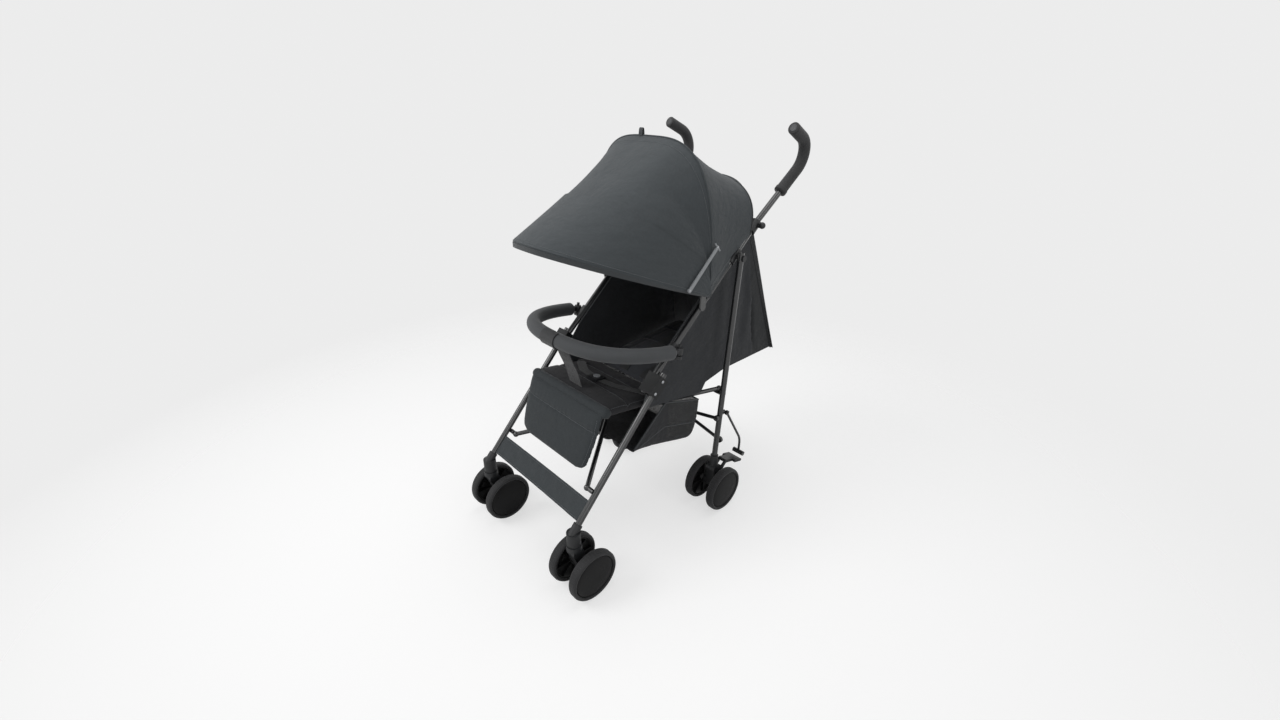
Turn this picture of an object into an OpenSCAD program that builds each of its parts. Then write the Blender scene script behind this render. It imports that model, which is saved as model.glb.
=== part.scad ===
// Umbrella stroller: two side frames joined by crossed bars, twin wheels, sling seat and canopy.
// +X is the child's left, the stroller faces -Y, the floor is z = 0.
// In the text below, side-view places are [y, z] with y counted back from the front axle.

/* [Wheels] */
// Diameter of every wheel
wheel_d = 132; // [110:1:150]
// Width of one wheel
wheel_w = 26; // [20:1:30]
// Rounding of the tread's edges
wheel_edge = 6; // [3:0.5:9]
// Closed face that caps the axle's end
wheel_cap = 4; // [3:0.5:6]
// Distance between the two wheels of a pair
twin_pitch = 80; // [76:1:90]
// Steel axle
axle_d = 8; // [6:0.5:10]
// Distance between the front wheel pairs
front_track = 382; // [340:1:420]
// Distance between the rear wheel pairs
rear_track = 412; // [404:1:440]
// Front axle to rear axle
wheelbase = 481; // [460:1:510]
// Front axle behind the caster's swivel axis
caster_trail = 22; // [14:1:30]

/* [Frame] */
// Outside diameter of the frame tubes
tube_d = 16; // [14:0.5:18]
// Wall of every clamp and sleeve on a tube
clamp_wall = 3.5; // [3:0.25:4.5]
// Gap between the front leg and the push tube beside it
tube_gap = 2; // [1.5:0.25:3]
// Slope of the front legs
leg_angle = 47.7; // [46:0.1:49]
// Length of the front legs from the foot point
leg_len = 440; // [430:1:460]
// Foot point of the front leg above the wheel tops
leg_rise = 43; // [40:1:50]
// Front leg above the middle of the mid bracket
leg_top = 40; // [30:1:48]
// Push tube above the front leg's line at the mid bracket
mid_rise = 10; // [6:1:14]
// Slope of the push tubes
push_angle = 41.8; // [41:0.1:43]
// Push tube below the mid bracket's centre
push_tail = 32; // [26:1:40]
// Bumper socket, from the mid bracket along the push tube
socket_at = 94; // [85:1:105]
// Canopy pivot stud, from the mid bracket along the push tube
canopy_at = 226; // [220:1:235]
// Rear leg hinge, from the mid bracket along the push tube
hinge_at = 387; // [380:1:395]
// Upper block, from the mid bracket along the push tube
block_at = 493; // [480:1:505]
// Rear legs outward of the push tube clamps
hinge_gap = 3.5; // [2:0.25:5]
// Low end of the rear leg above the floor
rear_foot_z = 120; // [112:1:130]
// Low end of the rear leg ahead of the rear axle
rear_foot_lead = 3; // [0:1:8]

/* [Handles] */
// Slope of the handle tubes
handle_angle = 43; // [41:0.5:45]
// Outward lean of the handles
handle_lean = 8.5; // [6:0.5:10]
// Handle tube between the upper block and the grip
handle_len = 110; // [95:1:125]
// Straight lower part of the grip
grip_run = 74; // [60:1:85]
// Bend radius of the grip
grip_bend_r = 50; // [45:1:58]
// Turn of the grip
grip_turn = 113; // [100:1:120]
// Straight upper part of the grip
grip_end = 56; // [45:1:70]
// Diameter of the grips
grip_d = 30; // [28:0.5:36]

/* [Bumper bar] */
// Diameter of the foam
bumper_d = 36; // [30:0.5:40]
// Pivot of each half outward of the push tube
bumper_out = 24; // [23.5:0.5:27]
// Reach of the bar ahead of its pivots
bumper_reach = 228; // [200:1:245]
// Rise of the bar towards its front
bumper_rise = 9; // [4:0.5:14]
// Gap between the two halves
bumper_gap = 6; // [6:0.5:14]

/* [Canopy] */
// Half width of the canopy at its pivots
canopy_x = 205; // [203:0.5:210]
// Visor tip ahead of the pivots
visor_reach = 384; // [340:1:400]
// Visor tip above the pivots
visor_rise = 146; // [120:1:160]
// Main hoop ahead of the pivots at its top
main_lead = 20; // [10:1:30]
// Main hoop above the pivots
main_rise = 349; // [330:1:365]
// Canopy pivot above the push tube
stud_rise = 40; // [34:1:46]
// Share of the visor that tips up with the front hoop
peak_share = 0.44; // [0.38:0.01:0.46]
// Thickness of the canopy cloth
cloth_t = 2.4; // [1.6:0.2:3]
// Diameter of the hoops
hoop_d = 6; // [5:0.5:7]

/* [Seat] */
// Thickness of a side wing
wing_t = 3.5; // [2:0.5:4]
// Front edge of the seat behind the front axle
seat_front_y = 116; // [105:1:125]
// Height of the seat's front edge
seat_front_z = 424; // [418:1:430]
// Length of the seat pad
seat_len = 214; // [205:1:220]
// Slope of the seat pad, down to the rear
seat_tilt = 9; // [6:0.5:11]
// Thickness of the seat pad
seat_t = 28; // [22:1:32]
// Length of the backrest
back_len = 372; // [350:1:378]
// Backrest angle as photographed, reclined
back_tilt = 5; // [3:0.5:6]
// Thickness of the backrest
back_t = 24; // [18:1:28]
// Length of the calf rest
calf_len = 158; // [150:1:180]
// Width of the calf rest
calf_w = 300; // [280:1:306]
// Thickness of the calf rest
calf_t = 14; // [10:1:18]
// Slope of the calf rest from the vertical
calf_tilt = 20; // [15:0.5:24]

/* [Crossed bars] */
// Diameter of the bars under the seat
bar_d = 12; // [10:0.5:13]
// Front bar pivot, along the front leg from the foot point
bar_at = 110; // [100:1:120]
// Distance between the two bars where they cross
bar_step = 16; // [15:0.5:20]
// Diameter of the bars between the rear legs
rear_bar_d = 10; // [8:0.5:11]
// Low pivot of the rear bars, up the rear leg
rear_bar_up = 91; // [80:1:105]
// Climb of the rear bars along the rear leg
rear_bar_climb = 80; // [65:1:95]

/* [Hidden] */
$fn = 48;
play = 0.05;
gap = 0.4;
seat_fit = 0.3;
eps = 0.01;
stand_off = 15;

wheel_r = wheel_d / 2;
tube_r = tube_d / 2;
clamp_r = tube_r + clamp_wall;
grip_r = grip_d / 2;
leg_x = front_track / 2;
push_x = leg_x - tube_d - tube_gap;
rear_x = rear_track / 2;
rear_top_x = push_x + clamp_r + hinge_gap + tube_r;
hub_w = twin_pitch - wheel_w - 4;
socket_r = clamp_r + 1;
wing_out = push_x - socket_r - seat_fit;
wing_x = wing_out - wing_t;
axle_half = twin_pitch / 2 + wheel_w / 2 - wheel_cap - 0.5;

// Side-view helpers
function heading(a) = [0, cos(a), sin(a)];
function unit(v) = v / norm(v);
function flip(p) = [-p.x, p.y, p.z];
function lerp(a, b, t) = a + (b - a) * t;

// Front leg, push tube and rear leg lines
leg_foot = [leg_x, -caster_trail - 8, wheel_d + leg_rise];
function leg_pt(t) = leg_foot + t * heading(leg_angle);
mid_at = leg_len - leg_top;
mid = [push_x, leg_pt(mid_at).y, leg_pt(mid_at).z + mid_rise];
function push_pt(t) = mid + t * heading(push_angle);
block = push_pt(block_at);
hinge = [rear_top_x, push_pt(hinge_at).y, push_pt(hinge_at).z];
rear_foot = [rear_x, wheelbase - rear_foot_lead, rear_foot_z];
rear_len = norm(rear_foot - hinge);
rear_bar_low = rear_len - rear_bar_up;
rear_bar_high = rear_bar_low - rear_bar_climb;
rear_dir = unit(rear_foot - hinge);
rear_nrm = unit(cross([1, 0, 0], rear_dir));
function rear_pt(s, off = 0) = hinge + s * rear_dir + off * rear_nrm;

module stand() translate([0, -y_mid, 0]) children();
module side(s) if (s > 0) children(); else mirror([1, 0, 0]) children();

// A round bar between two points
module rod(p, q, r) {
    v = q - p;
    translate(p) rotate([0, acos(v.z / norm(v)), atan2(v.y, v.x)]) cylinder(h = norm(v), r = r);
}
// A round bar along X
module xrod(p, half, r) translate(p) rotate([0, 90, 0]) cylinder(h = 2 * half, r = r, center = true);
// A collar along a direction, centred on a point
module collar(p, dir, len, r) rod(p - dir * len / 2, p + dir * len / 2, r);

// Two circles joined by their outer tangents, drawn in [y, z]
module link2d(p, q, rp, rq) {
    d = q - p;
    a = atan2(d.y, d.x);
    b = acos((rp - rq) / norm(d));
    up = [cos(a + b), sin(a + b)];
    down = [cos(a - b), sin(a - b)];
    translate(p) circle(rp);
    translate(q) circle(rq);
    polygon([p + rp * down, q + rq * down, q + rq * up, p + rp * up]);
}
// A side-view drawing given thickness in X, centred on x
module slab(x, w) translate([x - w / 2, 0, 0]) rotate([90, 0, 90]) linear_extrude(w) children();

// A fine weld ring where two runs of a bent tube meet
module seam(r) cylinder(h = 0.8, r = r + 0.02, center = true);

// A bent tube: each run is [straight length, turn to the left seen from +X, bend radius]
module bent(runs, r, i = 0) {
    if (i < len(runs)) {
        len_i = runs[i][0];
        turn = runs[i][1];
        bend_r = runs[i][2];
        cylinder(h = len_i, r = r);
        translate([0, 0, len_i]) {
            if (turn != 0) {
                s = sign(turn);
                seam(r);
                rotate([0, 0, s > 0 ? 180 : 0]) translate([0, bend_r, 0])
                    multmatrix([[0, 0, -1, 0], [-1, 0, 0, 0], [0, 1, 0, 0], [0, 0, 0, 1]])
                        rotate_extrude(angle = abs(turn)) translate([bend_r, 0]) circle(r);
                translate([0, -s * bend_r * (1 - cos(turn)), bend_r * sin(abs(turn))])
                    rotate([turn, 0, 0]) {
                        seam(r);
                        bent(runs, r, i + 1);
                    }
            }
        }
    }
}

// A closed skin between two grids of points
module skin(a, b) {
    n = len(a);
    m = len(a[0]);
    pts = concat([for (row = b) each row], [for (row = a) each row]);
    function at(i, j) = i * m + j;
    k = n * m;
    faces = concat(
        [for (i = [0:n - 2], j = [0:m - 2]) each [
            [at(i, j), at(i, j + 1), at(i + 1, j + 1)], [at(i, j), at(i + 1, j + 1), at(i + 1, j)],
            [k + at(i, j), k + at(i + 1, j + 1), k + at(i, j + 1)],
            [k + at(i, j), k + at(i + 1, j), k + at(i + 1, j + 1)]]],
        [for (j = [0:m - 2]) each [
            [at(0, j + 1), at(0, j), k + at(0, j)], [at(0, j + 1), k + at(0, j), k + at(0, j + 1)],
            [at(n - 1, j), at(n - 1, j + 1), k + at(n - 1, j + 1)],
            [at(n - 1, j), k + at(n - 1, j + 1), k + at(n - 1, j)]]],
        [for (i = [0:n - 2]) each [
            [at(i, 0), at(i + 1, 0), k + at(i + 1, 0)], [at(i, 0), k + at(i + 1, 0), k + at(i, 0)],
            [at(i + 1, m - 1), at(i, m - 1), k + at(i, m - 1)],
            [at(i + 1, m - 1), k + at(i, m - 1), k + at(i + 1, m - 1)]]]);
    polyhedron(pts, faces);
}

// A tube swept along points that lie in a plane with the given normal
module swept(path, nrm, r, sides = 12) {
    n = len(path);
    function tangent(i) = unit(path[min(i + 1, n - 1)] - path[max(i - 1, 0)]);
    pts = [for (i = [0:n - 1]) let (w = cross(tangent(i), nrm))
        for (j = [0:sides - 1]) path[i] + r * (cos(360 * j / sides) * nrm + sin(360 * j / sides) * w)];
    faces = concat(
        [for (i = [0:n - 2], j = [0:sides - 1]) let (k = (j + 1) % sides, a = i * sides, b = a + sides)
            each [[a + j, b + j, b + k], [a + j, b + k, a + k]]],
        [for (j = [1:sides - 2]) each [
            [0, j, j + 1], [(n - 1) * sides, (n - 1) * sides + j + 1, (n - 1) * sides + j]]]);
    polyhedron(pts, faces);
}

// Faces of a crowned cushion, above and below its base line
function pad_dome(u, v) = (1 - pow(abs(u), 5)) * (1 - pow(abs(2 * v - 1), 6));
function pad_top(t, crown, u, v) = 0.7 * t - crown * (1 - pad_dome(u, v));
function pad_low(t, crown, u, v) = -0.3 * t + 0.25 * crown * (1 - pad_dome(u, v));

// A cushion lying on the XY plane along +Y: crowned top, drawn-in sides, sewn channels across it
module cushion(half_w, length, t, crown, channels, taper = 0, grid_x = 14, grid_y = 18) {
    function width(v) = half_w * (1 - 0.012 * (1 - pow(2 * v - 1, 2))) - taper * pow(v, 3);
    function groove(v) = max([0, for (c = channels) 1 - pow((v - c) * length / 7, 2)]);
    function top(u, v) = pad_top(t, crown, u, v) - 0.35 * crown * groove(v) * pad_dome(u, v);
    function low(u, v) = pad_low(t, crown, u, v);
    us = [for (i = [0:grid_x]) sin(90 * (2 * i / grid_x - 1))];
    vs = [for (i = [0:grid_y]) i / grid_y];
    skin([for (v = vs) [for (u = us) [u * width(v), v * length, top(u, v)]]],
         [for (v = vs) [for (u = us) [u * width(v), v * length, low(u, v)]]]);
}

// Wheels and axles

module wheel(s) {
    bore = axle_d / 2 + play;
    rotate([0, s * 90, 0]) rotate_extrude() {
        translate([0, wheel_w / 2 - wheel_cap]) square([bore + 1, wheel_cap]);
        translate([bore, -wheel_w / 2]) square([wheel_r - wheel_edge - bore, wheel_w]);
        translate([bore, -wheel_w / 2 + wheel_edge]) square([wheel_r - bore, wheel_w - 2 * wheel_edge]);
        for (e = [-1, 1])
            translate([wheel_r - wheel_edge, e * (wheel_w / 2 - wheel_edge)]) circle(wheel_edge);
    }
}
module pair_wheel(x, y, s) color("#1d1d1f") stand() translate([x + s * twin_pitch / 2, y, wheel_r]) wheel(s);
module pair_axle(x, y) color("#9a9b9d") stand() xrod([x, y, wheel_r], axle_half, axle_d / 2);

module front_wheel(s, o) side(s) pair_wheel(leg_x, 0, o);
module rear_wheel(s, o) side(s) pair_wheel(rear_x, wheelbase, o);
module front_axle(s) side(s) pair_axle(leg_x, 0);
module rear_axle(s) side(s) pair_axle(rear_x, wheelbase);

// Caster: fork on a stem, under a socket that also holds the leg

stem_r = 5;
fork_top = wheel_d + 18;
stem_top = fork_top + 18;
leg_start = 8;
module caster_fork(s) color("#232324") side(s) stand() {
    axis = [leg_x, -caster_trail, 0];
    boss_r = 13;
    difference() {
        union() {
            slab(leg_x, 30) link2d([0, wheel_r], [-caster_trail + 2, fork_top - 22], boss_r - 1.5, 15);
            xrod([leg_x, 0, wheel_r], hub_w / 2, boss_r);
            translate(axis + [0, 0, fork_top - 14]) cylinder(h = 14, r = 19);
            translate(axis + [0, 0, fork_top - 1]) cylinder(h = stem_top - fork_top + 1, r = stem_r);
        }
        xrod([leg_x, 0, wheel_r], hub_w, axle_d / 2 + play);
    }
}
module caster_socket(s) color("#2a2a2c") side(s) stand() difference() {
    union() {
        translate([leg_x, -caster_trail, fork_top + gap]) cylinder(h = 36, r = 17);
        rod(leg_pt(leg_start - 5), leg_pt(leg_start + 26), clamp_r);
    }
    translate([leg_x, -caster_trail, fork_top - 5]) cylinder(h = stem_top + 1 - fork_top + 5, r = stem_r + play);
    rod(leg_pt(leg_start), leg_pt(leg_start + 60), tube_r + play);
}

// Front leg with the welded stub that carries the under-seat bar

bar_ball_r = bar_d / 2 + 2;
bar_ball = [leg_x - tube_r - 12 - bar_ball_r, leg_pt(bar_at).y + 4, leg_pt(bar_at).z];
bar_off = bar_step / 2 * [0, -sin(30), cos(30)];
function bar_front(s) = bar_ball + s * bar_off;
module front_leg(s) color("#3a3b3d") side(s) stand() {
    rod(leg_pt(leg_start), leg_pt(leg_len), tube_r);
    rod([leg_x - 4, bar_front(s).y, bar_front(s).z], bar_front(s) + [bar_ball_r + gap, 0, 0], 6);
}

// Push tube: straight to the upper block, then the leaning handle and the J under the grip

grip_plug = 4;
handle_runs = [[handle_len + grip_run, grip_turn, grip_bend_r], [grip_end - grip_plug, 0, 0]];
module at_handle() translate(block) rotate([0, handle_lean, 0]) rotate([handle_angle - 90, 0, 0]) children();
canopy_stud = [0, push_pt(canopy_at).y, push_pt(canopy_at).z + stud_rise];
stud_r = 3;
module push_tube(s) color("#3a3b3d") side(s) stand() {
    rod(push_pt(-push_tail), block, tube_r);
    translate(block) sphere(tube_r + eps);
    at_handle() bent(handle_runs, tube_r);
    slab(push_x + tube_r, 4)
        link2d([push_pt(canopy_at).y, push_pt(canopy_at).z + 2], [canopy_stud.y, canopy_stud.z], 10, 8);
    rod([push_x + tube_r, canopy_stud.y, canopy_stud.z],
        [canopy_x - cloth_t - 4, canopy_stud.y, canopy_stud.z], stud_r);
}
module grip(s) color("#2c2c2c") side(s) stand() at_handle() difference() {
    translate([0, 0, handle_len]) {
        bent([[grip_run, grip_turn, grip_bend_r], [grip_end, 0, 0]], grip_r);
        cylinder(h = 12, r = grip_r + 1.5);
    }
    bent(handle_runs, tube_r + play);
}

// Clamps on the tubes

module mid_bracket(s) color("#6f7173") side(s) stand() difference() {
    in_x = push_x - clamp_r;
    out_x = leg_x + clamp_r;
    translate([(in_x + out_x) / 2, mid.y, mid.z - mid_rise / 2]) rotate([(leg_angle + push_angle) / 2, 0, 0])
        cube([out_x - in_x, 52, 2 * clamp_r + mid_rise], center = true);
    rod(leg_pt(0), leg_pt(leg_len + 50), tube_r + play);
    rod(push_pt(-100), push_pt(100), tube_r + play);
}
socket = push_pt(socket_at);
bumper_pin = [push_x + bumper_out, socket.y, socket.z + 6];
bumper_nrm = [0, sin(bumper_rise), cos(bumper_rise)];
pin_r = 4;
module bumper_socket(s) color("#262627") side(s) stand() difference() {
    union() {
        collar(socket, heading(push_angle), 36, socket_r);
        rod(socket + [tube_r / 2, 0, -10], bumper_pin - 16.5 * bumper_nrm, 6);
        collar(bumper_pin - 15 * bumper_nrm, bumper_nrm, 8, 10);
        collar(bumper_pin, bumper_nrm, 34, pin_r);
    }
    rod(push_pt(socket_at - 40), push_pt(socket_at + 40), tube_r + play);
}
module upper_block(s) color("#262627") side(s) stand() difference() {
    union() {
        collar(block - 8 * heading(push_angle), heading(push_angle), 34, clamp_r + 1.5);
        rod(block, block + [23, 0, 0], 7.5);
        translate(block + [23, 0, 0]) sphere(8.5);
    }
    rod(push_pt(block_at - 60), block, tube_r + play);
    translate(block) sphere(tube_r + eps + play);
    at_handle() cylinder(h = 60, r = tube_r + play);
}
hinge_pin_r = 4;
module leg_hinge(s) color("#262627") side(s) stand() {
    inner = push_pt(hinge_at);
    head = [rear_top_x + tube_r + gap, hinge.y, hinge.z];
    difference() {
        collar(inner, heading(push_angle), 40, clamp_r);
        rod(push_pt(hinge_at - 60), push_pt(hinge_at + 60), tube_r + play);
    }
    rod(inner + [tube_r + 1, 0, 0], head + [1, 0, 0], hinge_pin_r);
    rod(head, head + [4, 0, 0], 8);
}

// Rear leg with its welded pins, and the hub it stands in

function rear_bar_side(s) = s * stand_off;
bar_rest_s = rear_len - 246;
bar_end = rear_pt(bar_rest_s - 12) - [tube_r + bar_ball_r + 2, 0, 0];
module rear_leg(s) color("#343536") side(s) stand() difference() {
    union() {
        rod(rear_pt(-14), rear_pt(rear_len), tube_r);
        rod(rear_pt(rear_bar_low), rear_pt(rear_bar_low, 1.4 * rear_bar_side(s)), stud_r + 1);
        rod(rear_pt(rear_bar_high), rear_pt(rear_bar_high, -(stand_off - rear_bar_d / 2 - gap) * sign(rear_bar_side(s))),
            stud_r + 1);
        if (s > 0) {
            rod(rear_pt(lever_s), lever_pin, lever_lug_r);
            rod(lever_pin, [lever_eye_x + 5, lever_pin.y, lever_pin.z], stud_r);
        }
        translate(bar_end - s * bar_off + [4, 0, -bar_ball_r - gap - 3])
            cube([2 * (tube_r + bar_ball_r), 14, 6], center = true);
    }
    xrod(hinge, 20, hinge_pin_r + play);
}
pedal_pin = [rear_x, wheelbase + 22, wheel_r + 46];
lug_half = 8;
module rear_hub(s) color("#232324") side(s) stand() difference() {
    boss_r = 13;
    union() {
        slab(rear_x, 30) link2d([wheelbase, wheel_r], [rear_foot.y, rear_foot.z + 2], boss_r - 1.5, 15);
        xrod([rear_x, wheelbase, wheel_r], hub_w / 2, boss_r);
        rod(rear_pt(rear_len - 45), rear_pt(rear_len + 4), clamp_r);
        slab(rear_x, 2 * lug_half) link2d([wheelbase, pedal_pin.z - 8], [pedal_pin.y, pedal_pin.z], 12, 8);
    }
    xrod([rear_x, wheelbase, wheel_r], hub_w, axle_d / 2 + play);
    rod(rear_pt(rear_len - 60), rear_pt(rear_len), tube_r + play);
    xrod(pedal_pin, hub_w, stud_r + play);
}
module brake_pedal(s) color("#2b2b2c") side(s) stand() {
    ear = 5;
    tip = [pedal_pin.y + 82, pedal_pin.z - 4];
    knee = [pedal_pin.y + 20, pedal_pin.z + 16];
    for (e = [-1, 1])
        slab(rear_x + e * (lug_half + gap + ear / 2), ear)
            link2d([pedal_pin.y, pedal_pin.z], knee, 7, 5);
    slab(rear_x, 2 * (lug_half + gap + ear)) link2d(knee, tip, 5, 4);
    slab(rear_x, hub_w - 4) link2d(lerp(knee, tip, 0.55), tip, 4.5, 4);
    xrod(pedal_pin, lug_half + gap + 1, stud_r);
}

// Foot lever: a bowed rod hinged behind the left rear leg

lever_s = rear_len - 181;
lever_pin = rear_pt(lever_s, 20);
lever_rod_r = 3.5;
lever_lug_r = 6;
lever_eye_x = lever_pin.x + lever_lug_r + gap + 3;
module fold_lever() color("#333436") stand() difference() {
    union() {
        xrod([lever_eye_x, lever_pin.y, lever_pin.z], 3, 7);
        translate([lever_eye_x, lever_pin.y, lever_pin.z]) rotate([-147, 0, 0])
            bent([[130, -33, 60], [32, 0, 0]], lever_rod_r);
        translate([lever_eye_x, lever_pin.y, lever_pin.z]) rotate([-147, 0, 0]) translate([0, 0, 130])
            translate([0, 60 * (1 - cos(33)), 60 * sin(33)]) rotate([-33, 0, 0]) translate([0, 0, 30])
                rotate([0, 90, 0]) cylinder(h = 36, r = 7, center = true);
    }
    xrod(lever_pin + [3, 0, 0], 20, stud_r + play);
}

// Crossed bars

module cross_bar(s) color("#2f3032") side(s) stand() {
    from = bar_front(s);
    to = flip(bar_end) + s * bar_off;
    rod(from, to, bar_d / 2);
    translate(from) sphere(bar_ball_r);
    translate(to) sphere(bar_ball_r);
}
module rear_cross_bar(s) color("#2f3032") side(s) stand() difference() {
    from = rear_pt(rear_bar_low, rear_bar_side(s));
    to = flip(rear_pt(rear_bar_high, rear_bar_side(s)));
    union() {
        rod(from, to, rear_bar_d / 2);
        collar(from, rear_nrm, rear_bar_d - 2, 9);
        collar(to, rear_nrm, rear_bar_d - 2, 8);
    }
    collar(from, rear_nrm, 40, stud_r + 1 + play);
}

// Bumper bar: two foam halves that hinge at the sockets

bumper_n = 2.6;
bumper_from = 22;
function bumper_pt(a) = let (u = pow(cos(a), 2 / bumper_n), v = pow(sin(a), 2 / bumper_n))
    [(bumper_pin.x) * u, bumper_pin.y - bumper_reach * v * cos(bumper_rise), bumper_pin.z + bumper_reach * v * sin(bumper_rise)];
bumper_steps = 20;
bumper_a0 = asin(pow(bumper_from / bumper_reach, bumper_n / 2));
bumper_a1 = acos(pow(bumper_gap / 2 / bumper_pin.x, bumper_n / 2));
module bumper(s) color("#3d3f41") side(s) stand() {
    path = [for (i = [0:bumper_steps]) bumper_pt(lerp(bumper_a0, bumper_a1, i / bumper_steps))];
    swept(path, bumper_nrm, bumper_d / 2, 16);
    difference() {
        union() {
            collar(bumper_pin, bumper_nrm, 18, 10);
            rod(bumper_pin - [0, 5, 0], path[0] + [0, -4, 0], 8);
        }
        collar(bumper_pin, bumper_nrm, 60, pin_r + play);
    }
}

// Canopy: hoops from one pivot on each side, with cloth stretched over them

canopy_core = [0, canopy_stud.y + 22, canopy_stud.z + 28];
hoop_steps = 24;
function outward(p) = unit(p - canopy_core);
function inset(p, d) = p - d * outward(p);
function hoop_pt(end, apex, n, a) = let (u = sign(cos(a)) * pow(abs(cos(a)), 2 / n), v = pow(abs(sin(a)), 2 / n))
    [end.x * u, end.y + (apex.y - end.y) * v, end.z + (apex.z - end.z) * v];
visor_end = [canopy_x, canopy_stud.y, canopy_stud.z - 4];
visor_tip = [0, canopy_stud.y - visor_reach, canopy_stud.z + visor_rise];
main_end = [canopy_x, canopy_stud.y, canopy_stud.z + 18];
main_top = [0, canopy_stud.y - main_lead, canopy_stud.z + main_rise];
back_end = [push_x + 13, block.y - 31, block.z - 20];
back_top = [0, block.y - 16, block.z + 115];
function visor_hoop(a) = hoop_pt(visor_end, visor_tip, 2.2, a);
function main_hoop_pt(a) = hoop_pt(main_end, main_top, 3.3, a);
function back_hoop(a) = hoop_pt(back_end, back_top, 2.8, a);
angles = [for (i = [0:hoop_steps]) 180 * i / hoop_steps];
under = cloth_t + gap;
function visor_at(t, a) = let (p = lerp(visor_hoop(a), main_hoop_pt(a), t)) p - 10 * sin(180 * t) * sin(a) * outward(p);
function rear_at(t, a) = let (p = lerp(inset(main_hoop_pt(a), under), back_hoop(a), t)) p - 6 * sin(180 * t) * outward(p);
visor_rows = [for (i = [0:8]) i / 8];
// The peak is wider beside its pivots, where the front hoop needs room
function peak_at(a) = peak_share + 0.25 * pow(1 - sin(a), 3);
module canopy_visor() color("#50565a") stand() skin(
    [for (t = visor_rows) [for (a = angles) inset(visor_at(peak_at(a) * t, a), cloth_t)]],
    [for (t = visor_rows) [for (a = angles) visor_at(peak_at(a) * t, a)]]);
// The fixed cloth: from under the peak's rear edge over the main hoop to the back hoop
hood_lap = 0.04;
function hood_at(t, a) = t < 0 ? inset(visor_at(1 + t * (1 - peak_at(a) + hood_lap), a), under) : rear_at(t, a);
hood_rows = [for (i = [-6:6]) i / 6];
module canopy_rear() color("#4a5054") stand() skin(
    [for (t = hood_rows) [for (a = angles) inset(hood_at(t, a), cloth_t)]],
    [for (t = hood_rows) [for (a = angles) hood_at(t, a)]]);
module hoop_rod(path, nrm) swept(path, nrm, hoop_d / 2, 8);
eye_r = 8;
module front_hoop() color("#2b2c2d") stand() difference() {
    path = [for (a = angles) inset(visor_hoop(a), under + hoop_d / 2 + 1.6)];
    union() {
        hoop_rod(path, unit(cross(visor_tip - [0, visor_end.y, visor_end.z], [1, 0, 0])));
        for (s = [-1, 1]) {
            xrod([s * path[0].x, canopy_stud.y, canopy_stud.z], hoop_d / 2, eye_r);
            rod([s * path[0].x, path[0].y, path[0].z], [s * path[0].x, path[0].y, canopy_stud.z], hoop_d / 2);
        }
    }
    xrod(canopy_stud, canopy_x, stud_r + play);
}
module main_hoop() color("#2b2c2d") stand() difference() {
    path = [for (a = angles) inset(main_hoop_pt(a), 2 * under + hoop_d / 2 + 0.8)];
    eye_x = path[0].x - hoop_d - gap;
    union() {
        hoop_rod(path, unit(cross(main_top - [0, main_end.y, main_end.z], [1, 0, 0])));
        for (s = [-1, 1]) {
            xrod([s * eye_x, canopy_stud.y, canopy_stud.z], hoop_d / 2, eye_r);
            rod([s * path[0].x, path[0].y, path[0].z], [s * eye_x, canopy_stud.y, canopy_stud.z + 4], hoop_d / 2);
        }
    }
    xrod(canopy_stud, canopy_x, stud_r + play);
}
stay_x = canopy_x + gap;
stay_foot = [stay_x, canopy_stud.y - 83, canopy_stud.z + 29];
stay_head = [stay_x, canopy_stud.y + 8, canopy_stud.z + 115];
stay_t = 3;
module canopy_stay(s) color("#85888b") side(s) stand() {
    cross_dir = unit([0, stay_foot.z - stay_head.z, stay_head.y - stay_foot.y]);
    slab(stay_x + stay_t / 2, stay_t) link2d([stay_foot.y, stay_foot.z], [stay_head.y, stay_head.z], 5, 4);
    collar(stay_head + [stay_t / 2, 0, 0], cross_dir, 26, stay_t / 2 + 0.6);
    xrod([stay_x - 1, stay_foot.y, stay_foot.z], 2, 4);
}
curtain_low = [wing_x + 11, block.y + 176, block.z - 405];
curtain_end = [wing_x - 3, block.y + 4, block.z - 30];
function curtain_at(t, a) = let (top = hoop_pt(curtain_end, back_top, 4, a) + [0, gap, 0], u = sign(cos(a)) * pow(abs(cos(a)), 0.8))
    lerp(top, [curtain_low.x * u, curtain_low.y, curtain_low.z], t) + [0, 10 * sin(180 * t) * sin(a), 0];
module rear_curtain() color("#33383b") stand() skin(
    [for (t = visor_rows) [for (a = angles) curtain_at(t, a)]],
    [for (t = visor_rows) [for (a = angles) let (p = curtain_at(t, a)) p + cloth_t * unit([p.x / wing_x, 1, 0])]]);

// The box's middle, so that the origin is under it on the floor
front_reach = -wheel_r;
grip_tail = block.y + (handle_len + grip_run) * cos(handle_angle);
grip_reach = grip_tail + grip_bend_r * (1 - sin(handle_angle)) + grip_r;
rear_reach = max(grip_reach, curtain_low.y + cloth_t);
y_mid = (front_reach + rear_reach) / 2;

// Seat: pads between two side wings, with the calf rest and the basket under it

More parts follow.
